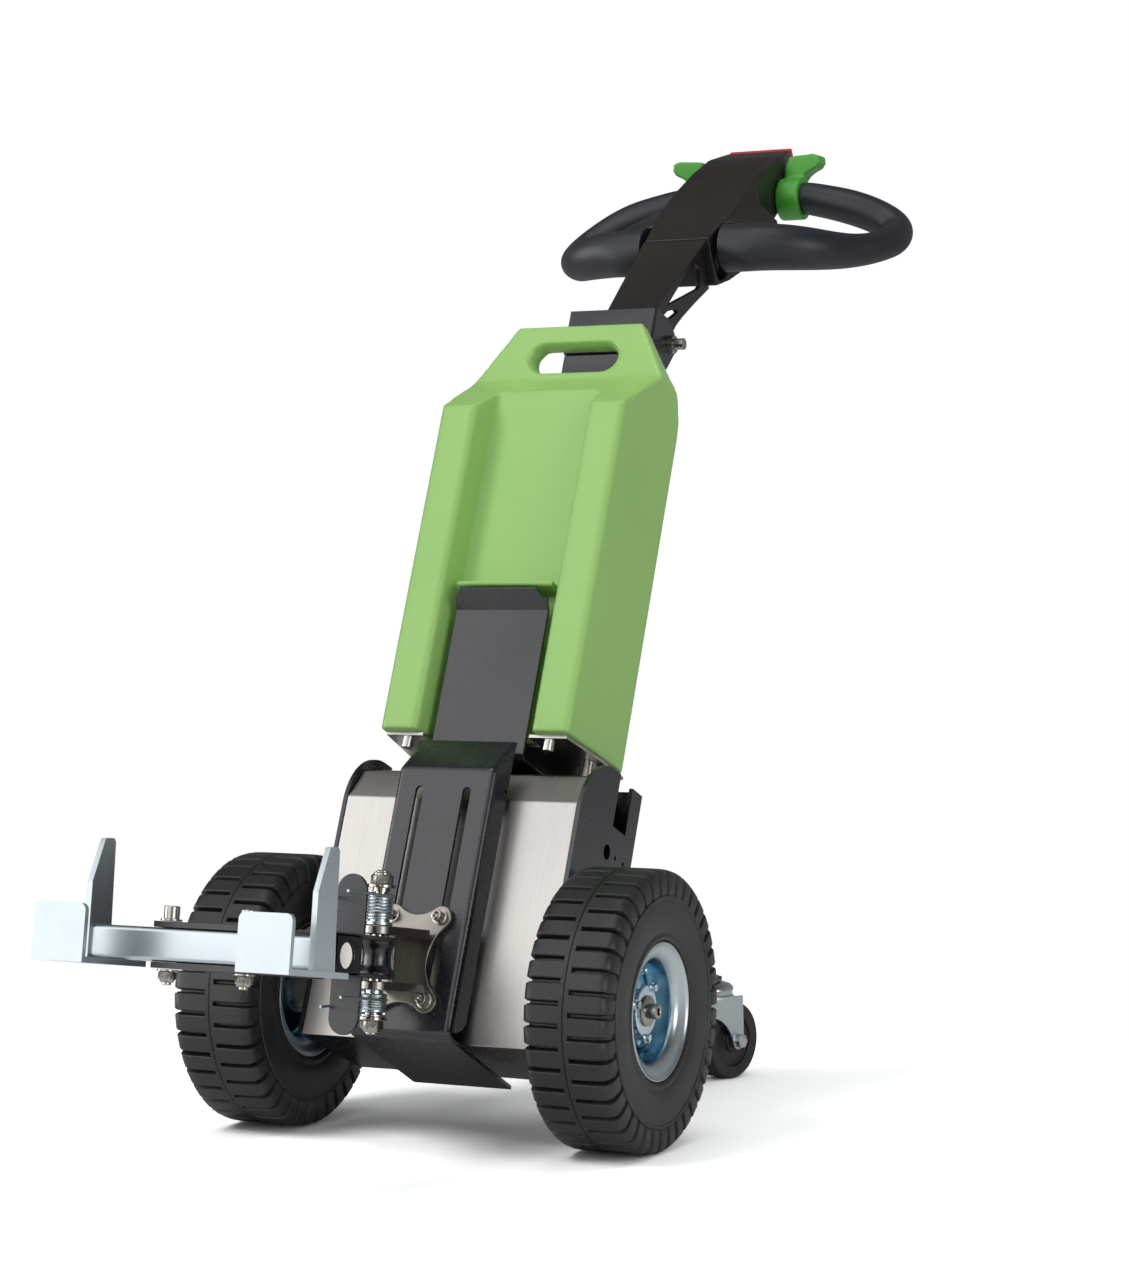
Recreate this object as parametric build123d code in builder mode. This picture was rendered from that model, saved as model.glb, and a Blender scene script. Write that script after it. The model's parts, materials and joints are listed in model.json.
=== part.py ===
from build123d import *
from math import atan2, cos, degrees, pi, radians, sin
import os

os.makedirs("parts", exist_ok=True)

# Electric tow tractor, all lengths in millimetres.
# The ground is z = 0, the hitch points to -Y, the operator stands at +Y.

# Placing of the whole machine
AXLE_Y = -147.7
COLUMN_TILT = 22.0
HITCH_TILT = 8.5

# Fits
SHAFT_GAP = 0.1
SEAT_GAP = 0.3
SCREW_GAP = 0.5

# Drive wheels
TYRE_OD = 260.0
TYRE_WIDTH = 84.0
TRACK = 365.0
RIM_SEAT_R = 51.0
RIM_FLANGE_R = 63.0
RIM_HALF_WIDTH = 35.0
RIM_SHEET = 3.0
HUB_R = 23.0
AXLE_D = 25.0
AXLE_Z = TYRE_OD / 2

# The body's own drawings put the axle this high; with another tyre all of it rides up or down
AXLE_UP = 130.0
RISE = AXLE_Z - AXLE_UP

# Body between the wheels
WHEEL_GAP = 13.5
BODY_HALF_WIDTH = TRACK / 2 - TYRE_WIDTH / 2 - WHEEL_GAP
PLATE_T = 4.0
BODY_FRONT_N = 94.0
BODY_REAR_N = -35.0
BODY_BOTTOM_S = 67.0
BODY_TOP_S = 357.0
BODY_CORNER_R = 60.0
COVER_T = 2.0

# Hitch plate with its two slots
HITCH_PLATE_HALF = 52.0
HITCH_PLATE_N = 130.0
HITCH_PLATE_T = 4.0
SLOT_X = 25.0
SLOT_W = 8.5
SLOT_TOP_S = 303.7
SLOT_BOTTOM_S = 90.0

# Hitch bracket that slides along the slots
BRACKET_T = 6.0
EAR_R = 9.0
EAR_LOW_S = 95.0
EAR_HIGH_S = 175.0
PIN_D = 12.0
PIN_Y = -135.5
PIN_Z = 187.5
BARREL_R = 17.0

# Hitch cradle
BEAM_SIZE = 28.0
BEAM_FRONT_U = 300.0
BEAM_MID_W = -9.0
BEAM_HALF = 106.0
BEAM_WALL = 3.0
CLAW_INNER_X = 72.6
CLAW_OUTER_X = 122.0
CLAW_T = 5.0
CLAW_FRONT_U = 360.0
CLAMP_BOLT_X = 37.0
CLAMP_BOLT_U = 286.5
CLAMP_BOLT_D = 8.0
CLAMP_HALF = 46.0
FINGER_T = 5.0
LIP_R = 6.0

# Battery pack
PACK_BOTTOM_S = 372.0
PACK_SHOULDER_S = 716.0
PACK_CREASE_S = 773.0
PACK_TOP_S = 837.0
PACK_FRONT_N = 96.0
PACK_REAR_N = -36.0
PACK_FRONT_HALF = 102.0
PACK_REAR_HALF = 110.0
PACK_TOP_HALF = 70.0
CHANNEL_HALF = 57.0
CHANNEL_N = 62.0
LEDGE_S = 531.0
LEDGE_N = 86.0
SLOT_HALF = 51.0
SLOT_MID_S = 800.0
SLOT_TALL = 36.0
SLOT_FLARE = 10.0
PACK_TOP_N = 28.5
PACK_ROUND = 8.0
PACK_REAR_ROUND = 22.0
GUIDE_HALF = 50.0
GUIDE_N = 79.5
GUIDE_T = 3.0

# Column behind the pack and the tiller hinge on top of it
COLUMN_HALF = 48.5
COLUMN_FRONT_N = -41.5
COLUMN_DEPTH = 36.0
COLUMN_BOTTOM_S = 190.0
COLUMN_TOP_S = 838.0
HINGE_S = 866.7
HINGE_N = -84.7
HINGE_D = 10.0
NECK_HALF = 28.0

# Casters
CASTER_PLATE_Z = RISE + 105.0
CASTER_PLATE_T = 5.0
FRAME_HALF = BODY_HALF_WIDTH - 24.0
FRAME_END_Y = 432.0
CASTER_X = FRAME_HALF - 16.0
CASTER_Y = FRAME_END_Y - 14.0
CASTER_HEAD = 25.0
CASTER_WHEEL_D = CASTER_PLATE_Z - CASTER_HEAD
CASTER_WHEEL_W = 26.0
CASTER_TRAIL = 30.0
CASTER_SWIVEL = 15.0


def side(origin, tilt, x):
    # local x runs forward, local y runs up the leaning axis, extrusion goes to -X
    a = radians(tilt)
    return Plane(origin=(x, origin[0], origin[1]), x_dir=(0, -cos(a), sin(a)), z_dir=(-1, 0, 0))


def front(origin, tilt, n):
    # local x is X, local y runs up the leaning axis, extrusion goes forward
    a = radians(tilt)
    at = (0, origin[0] - n * cos(a), origin[1] + n * sin(a))
    return Plane(origin=at, x_dir=(1, 0, 0), z_dir=(0, -cos(a), sin(a)))


def top(origin, tilt, s):
    # local x is X, local y runs backward, extrusion goes up the leaning axis
    a = radians(tilt)
    at = (0, origin[0] + s * sin(a), origin[1] + s * cos(a))
    return Plane(origin=at, x_dir=(1, 0, 0), z_dir=(0, sin(a), cos(a)))


def machine(y, z):
    # a place told from the axle's foot, with the body riding at the axle's height
    return (AXLE_Y + y, RISE + z)


BODY = machine(0, 0)
PIN = machine(PIN_Y, PIN_Z)


def body_yz(n, s):
    a = radians(COLUMN_TILT)
    return machine(s * sin(a) - n * cos(a), s * cos(a) + n * sin(a))


def forward(edge):
    # how far an edge's middle stands forward of the leaning middle plane
    a = radians(COLUMN_TILT)
    spot = edge.center()
    return -(spot.Y - AXLE_Y) * cos(a) + (spot.Z - RISE) * sin(a)


def from_pin(edge):
    # how far an edge's middle stands ahead of the swivel pin and up it
    a = radians(HITCH_TILT)
    y = edge.center().Y - PIN[0]
    z = edge.center().Z - PIN[1]
    return (z * sin(a) - y * cos(a), y * sin(a) + z * cos(a))


# Where the wheel axle sits, told in the body's own leaning directions
AXLE_S = AXLE_UP * cos(radians(COLUMN_TILT))
AXLE_N = AXLE_UP * sin(radians(COLUMN_TILT))

# Side plates with the rounded front corner and the notch at the back
NOTCH_FRONT_N = 19.0
NOTCH_REAR_N = -11.5
NOTCH_S = 305.0
DECK_CUT = 22.0
DECK_CUT_LONG = NOTCH_FRONT_N - BODY_REAR_N - 2
NOTCH_MID_N = NOTCH_FRONT_N - DECK_CUT_LONG / 2
side_plates = (("left", -BODY_HALF_WIDTH + PLATE_T), ("right", BODY_HALF_WIDTH))
for hand, x_face in side_plates:
    with BuildPart() as side_plate:
        with BuildSketch(side(BODY, COLUMN_TILT, x_face)):
            with BuildLine():
                Polyline(
                    (BODY_FRONT_N, BODY_BOTTOM_S),
                    (BODY_FRONT_N, BODY_TOP_S - BODY_CORNER_R),
                )
                RadiusArc(
                    (BODY_FRONT_N, BODY_TOP_S - BODY_CORNER_R),
                    (BODY_FRONT_N - BODY_CORNER_R, BODY_TOP_S),
                    -BODY_CORNER_R,
                )
                Polyline(
                    (BODY_FRONT_N - BODY_CORNER_R, BODY_TOP_S),
                    (NOTCH_FRONT_N, BODY_TOP_S),
                    (NOTCH_FRONT_N, NOTCH_S),
                    (NOTCH_REAR_N, NOTCH_S),
                    (NOTCH_REAR_N, BODY_TOP_S - 4),
                    (BODY_REAR_N, BODY_TOP_S - 4),
                    (BODY_REAR_N, BODY_BOTTOM_S),
                    (BODY_FRONT_N, BODY_BOTTOM_S),
                )
            make_face()
            with Locations((22.7, 278)):
                Circle(7.3, mode=Mode.SUBTRACT)
            with Locations((2.7, 278), (-16.3, 278)):
                Circle(2.2, mode=Mode.SUBTRACT)
            with Locations((AXLE_N, AXLE_S)):
                Circle(AXLE_D / 2 + 5, mode=Mode.SUBTRACT)
        extrude(amount=PLATE_T)
    side_plate.part.label = "side_plate_" + hand
    export_step(side_plate.part, "parts/side_plate_" + hand + ".step")

INNER_HALF = BODY_HALF_WIDTH - PLATE_T - SEAT_GAP
DECK_S = 347.0
SHEET_T = 3.0

# Bright front cover, folded back over the top in three flats
COVER_N = BODY_FRONT_N - 0.5
COVER_FOLDS = (
    (COVER_N, BODY_BOTTOM_S),
    (COVER_N, 303.0),
    (73.0, 336.0),
    (36.0, DECK_S + 2.0),
)
COVER_INSIDE = (
    (36.0, DECK_S + 2.0 - COVER_T),
    (73.0 - COVER_T / 2, 336.0 - COVER_T),
    (COVER_N - COVER_T, 303.0 - COVER_T / 2),
    (COVER_N - COVER_T, BODY_BOTTOM_S),
)
with BuildPart() as front_cover:
    with BuildSketch(side(BODY, COLUMN_TILT, INNER_HALF)):
        with BuildLine():
            Polyline(*COVER_FOLDS, *COVER_INSIDE, close=True)
        make_face()
    extrude(amount=2 * INNER_HALF)
front_cover.part.label = "front_cover"
export_step(front_cover.part, "parts/front_cover.step")

# Rear panel and top deck, one bent sheet that closes the back and carries the pack
DECK_FRONT_N = 35.5
with BuildPart() as rear_panel:
    with BuildSketch(side(BODY, COLUMN_TILT, INNER_HALF)):
        with BuildLine():
            Polyline(
                (DECK_FRONT_N, DECK_S),
                (BODY_REAR_N + SHEET_T, DECK_S),
                (BODY_REAR_N + SHEET_T, BODY_TOP_S - 1),
                (BODY_REAR_N, BODY_TOP_S - 1),
                (BODY_REAR_N, BODY_BOTTOM_S + SHEET_T + SEAT_GAP),
                (BODY_REAR_N + SHEET_T, BODY_BOTTOM_S + SHEET_T + SEAT_GAP),
                (BODY_REAR_N + SHEET_T, DECK_S - SHEET_T),
                (DECK_FRONT_N, DECK_S - SHEET_T),
                (DECK_FRONT_N, DECK_S),
            )
        make_face()
    extrude(amount=2 * INNER_HALF)
    with BuildSketch(top(BODY, COLUMN_TILT, DECK_S - SHEET_T - 1)):
        with Locations((-INNER_HALF, -NOTCH_MID_N), (INNER_HALF, -NOTCH_MID_N)):
            Rectangle(2 * DECK_CUT, DECK_CUT_LONG)
    extrude(amount=SHEET_T + 2, mode=Mode.SUBTRACT)
rear_panel.part.label = "rear_panel"
export_step(rear_panel.part, "parts/rear_panel.step")

# Bottom pan
with BuildPart() as bottom_pan:
    with BuildSketch(side(BODY, COLUMN_TILT, INNER_HALF)):
        with BuildLine():
            Polyline(
                (COVER_N - COVER_T - SEAT_GAP, BODY_BOTTOM_S),
                (BODY_REAR_N, BODY_BOTTOM_S),
                (BODY_REAR_N, BODY_BOTTOM_S + SHEET_T),
                (COVER_N - COVER_T - SEAT_GAP, BODY_BOTTOM_S + SHEET_T),
                (COVER_N - COVER_T - SEAT_GAP, BODY_BOTTOM_S),
            )
        make_face()
    extrude(amount=2 * INNER_HALF)
bottom_pan.part.label = "bottom_pan"
export_step(bottom_pan.part, "parts/bottom_pan.step")

# Hitch plate, a folded channel with two long slots and a skid under it
PLATE_LOW_S = 63.0
PLATE_HIGH_S = 322.0
PLATE_TOP_S = 360.5
PLATE_TOP_N = 98.0
SKID_Y = 30.0
SKID_Z = 42.7
SKID_S = (SKID_Y * sin(radians(COLUMN_TILT))) + SKID_Z * cos(radians(COLUMN_TILT))
SKID_N = (-SKID_Y * cos(radians(COLUMN_TILT))) + SKID_Z * sin(radians(COLUMN_TILT))
FLANGE_N = COVER_N + SEAT_GAP
FLANGE_T = 4.0
with BuildPart() as hitch_plate:
    with BuildSketch(side(BODY, COLUMN_TILT, HITCH_PLATE_HALF)):
        with BuildLine():
            Polyline(
                (HITCH_PLATE_N, PLATE_LOW_S),
                (HITCH_PLATE_N, PLATE_HIGH_S),
                (PLATE_TOP_N, PLATE_TOP_S),
                (PLATE_TOP_N - 3, PLATE_TOP_S - 3),
                (HITCH_PLATE_N - HITCH_PLATE_T, PLATE_HIGH_S - 2),
                (HITCH_PLATE_N - HITCH_PLATE_T, PLATE_LOW_S + 2),
                (SKID_N, SKID_S + HITCH_PLATE_T),
                (SKID_N, SKID_S),
                (HITCH_PLATE_N, PLATE_LOW_S),
            )
        make_face()
    extrude(amount=2 * HITCH_PLATE_HALF)
    with BuildSketch(side(BODY, COLUMN_TILT, HITCH_PLATE_HALF)):
        with BuildLine():
            Polyline(
                (HITCH_PLATE_N - 1, PLATE_LOW_S + 2),
                (HITCH_PLATE_N - 1, PLATE_HIGH_S),
                (PLATE_TOP_N + 1, PLATE_TOP_S - 3),
                (FLANGE_N, PLATE_HIGH_S - 20),
                (FLANGE_N, PLATE_LOW_S + 17),
                (HITCH_PLATE_N - 1, PLATE_LOW_S + 2),
            )
        make_face()
    extrude(amount=FLANGE_T)
    with BuildSketch(side(BODY, COLUMN_TILT, -HITCH_PLATE_HALF + FLANGE_T)):
        with BuildLine():
            Polyline(
                (HITCH_PLATE_N - 1, PLATE_LOW_S + 2),
                (HITCH_PLATE_N - 1, PLATE_HIGH_S),
                (PLATE_TOP_N + 1, PLATE_TOP_S - 3),
                (FLANGE_N, PLATE_HIGH_S - 20),
                (FLANGE_N, PLATE_LOW_S + 17),
                (HITCH_PLATE_N - 1, PLATE_LOW_S + 2),
            )
        make_face()
    extrude(amount=FLANGE_T)
    with BuildSketch(front(BODY, COLUMN_TILT, HITCH_PLATE_N - HITCH_PLATE_T - 3)):
        with Locations(
            (-SLOT_X, (SLOT_TOP_S + SLOT_BOTTOM_S) / 2),
            (SLOT_X, (SLOT_TOP_S + SLOT_BOTTOM_S) / 2),
        ):
            SlotOverall(SLOT_TOP_S - SLOT_BOTTOM_S, SLOT_W, rotation=90)
    extrude(amount=HITCH_PLATE_T + 6, mode=Mode.SUBTRACT)
hitch_plate.part.label = "hitch_plate"
export_step(hitch_plate.part, "parts/hitch_plate.step")

# Guide strip that stands in the pack's channel and is bolted on the deck
GUIDE_FOOT_S = DECK_S + 2.0 + SEAT_GAP
with BuildPart() as guide_strip:
    with BuildSketch(side(BODY, COLUMN_TILT, GUIDE_HALF)):
        with BuildLine():
            Polyline(
                (GUIDE_N, GUIDE_FOOT_S),
                (GUIDE_N, 501.6),
                (93, 519.5),
                (91, 521.5),
                (GUIDE_N - GUIDE_T, 503),
                (GUIDE_N - GUIDE_T, GUIDE_FOOT_S + GUIDE_T),
                (0, GUIDE_FOOT_S + GUIDE_T),
                (0, GUIDE_FOOT_S),
                close=True,
            )
        make_face()
    extrude(amount=2 * GUIDE_HALF)
    with BuildSketch(front(BODY, COLUMN_TILT, GUIDE_N - GUIDE_T - 1)):
        with Locations((-GUIDE_HALF, 522.5), (GUIDE_HALF, 522.5)):
            Rectangle(20, 14, rotation=45)
    extrude(amount=20, mode=Mode.SUBTRACT)
guide_strip.part.label = "guide_strip"
export_step(guide_strip.part, "parts/guide_strip.step")

# Column
with BuildPart() as column:
    with BuildSketch(side(BODY, COLUMN_TILT, COLUMN_HALF)):
        with BuildLine():
            Polyline(
                (COLUMN_FRONT_N, BODY_TOP_S),
                (COLUMN_FRONT_N, COLUMN_TOP_S),
                (COLUMN_FRONT_N - COLUMN_DEPTH, COLUMN_TOP_S),
                (COLUMN_FRONT_N - COLUMN_DEPTH, COLUMN_BOTTOM_S + 30),
                (BODY_REAR_N - SEAT_GAP, COLUMN_BOTTOM_S),
                (BODY_REAR_N - SEAT_GAP, BODY_TOP_S - 12),
                (COLUMN_FRONT_N, BODY_TOP_S),
            )
        make_face()
    extrude(amount=2 * COLUMN_HALF)
column.part.label = "column"
export_step(column.part, "parts/column.step")

# Tiller bracket, a block with two pointed cheeks
BRACKET_PLATE_T = 5.0
BRACKET_HALF = 50.0
CHEEK = (
    (-41.5, COLUMN_TOP_S + SEAT_GAP),
    (-41.5, 888.0),
    (-64.0, 889.7),
    (-83.2, 888.0),
    (-94.0, 882.6),
    (-101.3, 864.7),
    (-88.4, 840.1),
    (-86.0, COLUMN_TOP_S + SEAT_GAP),
)
with BuildPart() as tiller_bracket:
    for x_face in (BRACKET_HALF, -BRACKET_HALF + BRACKET_PLATE_T):
        with BuildSketch(side(BODY, COLUMN_TILT, x_face)):
            with BuildLine():
                Polyline(*CHEEK, close=True)
            make_face()
            with Locations((HINGE_N, HINGE_S)):
                Circle(HINGE_D / 2 + SHAFT_GAP, mode=Mode.SUBTRACT)
        extrude(amount=BRACKET_PLATE_T)
    with BuildSketch(front(BODY, COLUMN_TILT, -47.5)):
        with Locations((0, (COLUMN_TOP_S + SEAT_GAP + 888.0) / 2)):
            Rectangle(2 * BRACKET_HALF, 888.0 - COLUMN_TOP_S - SEAT_GAP)
    extrude(amount=6)
tiller_bracket.part.label = "tiller_bracket"
export_step(tiller_bracket.part, "parts/tiller_bracket.step")

# Hinge bolt of the tiller
hinge_y, hinge_z = body_yz(HINGE_N, HINGE_S)
hinge = (hinge_y, hinge_z)
with BuildPart() as hinge_bolt:
    with BuildSketch(Plane.YZ.offset(-64)):
        with Locations(hinge):
            Circle(HINGE_D / 2)
    extrude(amount=124)
    for x_low, thick, radius in ((BRACKET_HALF + SEAT_GAP, 6.0, 9.4), (-BRACKET_HALF - SEAT_GAP - 2.5, 2.5, 11.0)):
        with BuildSketch(Plane.YZ.offset(x_low)):
            with Locations(hinge):
                Circle(radius)
        extrude(amount=thick)
    with BuildSketch(Plane.YZ.offset(BRACKET_HALF + 6.0)):
        with Locations(hinge):
            Circle(6)
    extrude(amount=11)
    with BuildSketch(Plane.YZ.offset(-62)):
        with Locations(hinge):
            RegularPolygon(9, 6)
    extrude(amount=9)
hinge_bolt.part.label = "hinge_bolt"
export_step(hinge_bolt.part, "parts/hinge_bolt.step")

# Motor and gearbox as one block, with the two wheel shafts
SHAFT_END = TRACK / 2 + 12
with BuildPart() as drive_unit:
    with BuildSketch(Plane.YZ.offset(-85)):
        with Locations((AXLE_Y, AXLE_Z)):
            Circle(36)
    extrude(amount=170)
    with BuildSketch(side(BODY, COLUMN_TILT, 60)):
        with Locations((18, 210)):
            Rectangle(80, 110)
    extrude(amount=120)
    with BuildSketch(side(BODY, COLUMN_TILT, 40)):
        with Locations((AXLE_N - 20, AXLE_S + 30)):
            Rectangle(50, 60)
    extrude(amount=80)
    with BuildSketch(Plane.YZ.offset(-SHAFT_END)):
        with Locations((AXLE_Y, AXLE_Z)):
            Circle(AXLE_D / 2)
    extrude(amount=2 * SHAFT_END)
drive_unit.part.label = "drive_unit"
export_step(drive_unit.part, "parts/drive_unit.step")

# Rear frame that carries the two casters
FRAME_LIP = 24.0
frame_y, frame_z = body_yz(BODY_REAR_N - SEAT_GAP, 150.0)
low_y, low_z = body_yz(BODY_REAR_N - SEAT_GAP, 84.0)
with BuildPart() as caster_frame:
    with BuildSketch(Plane.XY.offset(CASTER_PLATE_Z)):
        with BuildLine():
            Polyline(
                (-FRAME_HALF, AXLE_Y + 84),
                (FRAME_HALF, AXLE_Y + 84),
                (FRAME_HALF, AXLE_Y + FRAME_END_Y - 12),
                (FRAME_HALF - 12, AXLE_Y + FRAME_END_Y),
                (-FRAME_HALF + 12, AXLE_Y + FRAME_END_Y),
                (-FRAME_HALF, AXLE_Y + FRAME_END_Y - 12),
                close=True,
            )
        make_face()
        with Locations((0, AXLE_Y + 230)):
            RectangleRounded(2 * FRAME_HALF - 76, 210, 24, mode=Mode.SUBTRACT)
    extrude(amount=CASTER_PLATE_T)
    for x_low in (-FRAME_HALF, FRAME_HALF - CASTER_PLATE_T):
        with BuildSketch(Plane.YZ.offset(x_low)):
            with BuildLine():
                Polyline(
                    (low_y, low_z),
                    (frame_y, frame_z),
                    (AXLE_Y + 150, CASTER_PLATE_Z + CASTER_PLATE_T + FRAME_LIP),
                    (AXLE_Y + FRAME_END_Y - 60, CASTER_PLATE_Z + CASTER_PLATE_T + FRAME_LIP),
                    (AXLE_Y + FRAME_END_Y - 30, CASTER_PLATE_Z + 1),
                    (AXLE_Y + 120, CASTER_PLATE_Z + 1),
                    close=True,
                )
            make_face()
        extrude(amount=CASTER_PLATE_T)
    with BuildSketch(side(BODY, COLUMN_TILT, FRAME_HALF)):
        with Locations((BODY_REAR_N - SEAT_GAP - 2.5, 117)):
            Rectangle(5, 66)
    extrude(amount=2 * FRAME_HALF)
caster_frame.part.label = "caster_frame"
export_step(caster_frame.part, "parts/caster_frame.step")

# Casters
FORK_GAP = 3.0
FORK_T = 3.0
FORK_TOP_Z = CASTER_WHEEL_D + 4.0
FORK_PLATE_T = 3.0
BOLT_R = 5.0
DISH = 4.0
TURN = radians(CASTER_SWIVEL)
TRAIL_DIR = (sin(TURN), cos(TURN), 0)
ROLL_DIR = (cos(TURN), -sin(TURN), 0)


def caster_side(x_at, offset):
    # local x runs along the trail, local y is up, extrusion goes along the roller's axle
    at = (x_at + offset * ROLL_DIR[0], AXLE_Y + CASTER_Y + offset * ROLL_DIR[1], 0)
    return Plane(origin=at, x_dir=TRAIL_DIR, z_dir=ROLL_DIR)


def caster_top(x_at, z):
    return Plane(origin=(x_at, AXLE_Y + CASTER_Y, z), x_dir=ROLL_DIR, z_dir=(0, 0, 1))


HALF_FORK = CASTER_WHEEL_W / 2 + FORK_GAP
WHEEL_Z = CASTER_WHEEL_D / 2
NECK_TOP = CASTER_PLATE_Z - SEAT_GAP - FORK_TOP_Z - FORK_PLATE_T - 9
for hand, x_at in (("left", -CASTER_X), ("right", CASTER_X)):
    with BuildPart() as fork:
        with BuildSketch(caster_top(x_at, WHEEL_Z - 12)):
            with Locations((0, 26)):
                RectangleRounded(2 * (HALF_FORK + FORK_T), 100, 12)
                RectangleRounded(2 * HALF_FORK, 100 - 2 * FORK_T, 9, mode=Mode.SUBTRACT)
        extrude(amount=FORK_TOP_Z + FORK_PLATE_T - WHEEL_Z + 12)
        with BuildSketch(caster_side(x_at, 0)):
            with BuildLine():
                Polyline(
                    (-26, FORK_TOP_Z - 16),
                    (-26, FORK_TOP_Z + FORK_PLATE_T),
                    (CASTER_TRAIL + 7, FORK_TOP_Z + FORK_PLATE_T),
                    (CASTER_TRAIL + 9, WHEEL_Z),
                )
                ThreePointArc(
                    (CASTER_TRAIL + 9, WHEEL_Z),
                    (CASTER_TRAIL, WHEEL_Z - 9),
                    (CASTER_TRAIL - 9, WHEEL_Z),
                )
                ThreePointArc(
                    (CASTER_TRAIL - 9, WHEEL_Z),
                    (6, FORK_TOP_Z - 24),
                    (-26, FORK_TOP_Z - 16),
                )
            make_face()
        extrude(amount=HALF_FORK + FORK_T + 1, both=True, mode=Mode.INTERSECT)
        with BuildSketch(caster_top(x_at, FORK_TOP_Z)):
            with Locations((0, 5)):
                Rectangle(2 * HALF_FORK + 2, 50)
        extrude(amount=FORK_PLATE_T)
        for z_low, thick, radius, taper in ((0, 3, 28, 0), (3, 6, 27, 40), (9, NECK_TOP, 15, 0)):
            with BuildSketch(caster_top(x_at, FORK_TOP_Z + FORK_PLATE_T + z_low)):
                Circle(radius)
            extrude(amount=thick, taper=taper)
        with BuildSketch(caster_side(x_at, -HALF_FORK - FORK_T - 5)):
            with Locations((CASTER_TRAIL, WHEEL_Z)):
                Circle(BOLT_R)
        extrude(amount=2 * (HALF_FORK + FORK_T + 5))
        with BuildSketch(caster_side(x_at, HALF_FORK + FORK_T)):
            with Locations((CASTER_TRAIL, WHEEL_Z)):
                RegularPolygon(7.5, 6)
        extrude(amount=6)
    fork.part.label = "caster_fork_" + hand
    export_step(fork.part, "parts/caster_fork_" + hand + ".step")
    with BuildPart() as roller:
        with BuildSketch(caster_side(x_at, -CASTER_WHEEL_W / 2)):
            with Locations((CASTER_TRAIL, WHEEL_Z)):
                Circle(CASTER_WHEEL_D / 2)
                Circle(BOLT_R + SHAFT_GAP, mode=Mode.SUBTRACT)
        extrude(amount=CASTER_WHEEL_W)
        for start in (-CASTER_WHEEL_W / 2, CASTER_WHEEL_W / 2 - DISH):
            with BuildSketch(caster_side(x_at, start)):
                with Locations((CASTER_TRAIL, WHEEL_Z)):
                    Circle(0.68 * CASTER_WHEEL_D / 2)
                    Circle(0.3 * CASTER_WHEEL_D / 2, mode=Mode.SUBTRACT)
            extrude(amount=DISH, mode=Mode.SUBTRACT)
    roller.part.label = "caster_wheel_" + hand
    export_step(roller.part, "parts/caster_wheel_" + hand + ".step")

# Drive wheels, turned about the axle
TYRE_HALF = TYRE_WIDTH / 2
TYRE_PROFILE = (
    (-RIM_HALF_WIDTH + RIM_SHEET + SEAT_GAP, RIM_SEAT_R + SEAT_GAP),
    (-RIM_HALF_WIDTH + 2 * SEAT_GAP, RIM_FLANGE_R + SEAT_GAP),
    (-TYRE_HALF + 2, RIM_FLANGE_R + 12),
    (-TYRE_HALF, 96.0),
    (-TYRE_HALF, 112.0),
    (-TYRE_HALF + 3, 122.0),
    (-TYRE_HALF + 10, TYRE_OD / 2),
    (TYRE_HALF - 10, TYRE_OD / 2),
    (TYRE_HALF - 3, 122.0),
    (TYRE_HALF, 112.0),
    (TYRE_HALF, 96.0),
    (TYRE_HALF - 2, RIM_FLANGE_R + 12),
    (RIM_HALF_WIDTH - 2 * SEAT_GAP, RIM_FLANGE_R + SEAT_GAP),
    (RIM_HALF_WIDTH - RIM_SHEET - SEAT_GAP, RIM_SEAT_R + SEAT_GAP),
)
for hand, x_mid, out in (("left", -TRACK / 2, -1), ("right", TRACK / 2, 1)):
    axle_plane = Plane(origin=(x_mid, AXLE_Y, AXLE_Z), x_dir=(out, 0, 0), z_dir=(0, -out, 0))
    axle_axis = Axis((x_mid, AXLE_Y, AXLE_Z), (1, 0, 0))
    with BuildPart() as tyre:
        with BuildSketch(axle_plane):
            with BuildLine():
                Polyline(*TYRE_PROFILE, close=True)
            make_face()
        revolve(axis=axle_axis)
    tyre.part.label = "tyre_" + hand
    export_step(tyre.part, "parts/tyre_" + hand + ".step")
    with BuildPart() as rim:
        with BuildSketch(axle_plane):
            with BuildLine():
                Polyline(
                    (-RIM_HALF_WIDTH, RIM_FLANGE_R),
                    (-RIM_HALF_WIDTH + RIM_SHEET, RIM_SEAT_R),
                    (RIM_HALF_WIDTH - RIM_SHEET, RIM_SEAT_R),
                    (RIM_HALF_WIDTH, RIM_FLANGE_R),
                    (RIM_HALF_WIDTH + RIM_SHEET, RIM_FLANGE_R),
                    (RIM_HALF_WIDTH, RIM_SEAT_R - RIM_SHEET),
                    (12, RIM_SEAT_R - RIM_SHEET - 2),
                    (6, 40),
                    (6, HUB_R + SEAT_GAP),
                    (0, HUB_R + SEAT_GAP),
                    (0, RIM_SEAT_R - RIM_SHEET),
                    (-RIM_HALF_WIDTH, RIM_SEAT_R - RIM_SHEET),
                    (-RIM_HALF_WIDTH - RIM_SHEET, RIM_FLANGE_R),
                    close=True,
                )
            make_face()
        revolve(axis=axle_axis)
    rim.part.label = "rim_" + hand
    export_step(rim.part, "parts/rim_" + hand + ".step")
    with BuildPart() as hub_part:
        with BuildSketch(axle_plane):
            with BuildLine():
                Polyline(
                    (-40, AXLE_D / 2 + SHAFT_GAP),
                    (-40, HUB_R - 2),
                    (-6, HUB_R),
                    (-6, 36),
                    (-SEAT_GAP, 36),
                    (-SEAT_GAP, HUB_R),
                    (12, HUB_R - 3),
                    (12 + SHAFT_GAP, HUB_R - 3),
                    (16, HUB_R - 8),
                    (16, 9),
                    (32, 9),
                    (32, 0),
                    (12 + SHAFT_GAP, 0),
                    (12 + SHAFT_GAP, AXLE_D / 2 + SHAFT_GAP),
                    close=True,
                )
            make_face()
        revolve(axis=axle_axis)
    hub_part.part.label = "hub_" + hand
    export_step(hub_part.part, "parts/hub_" + hand + ".step")

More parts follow.
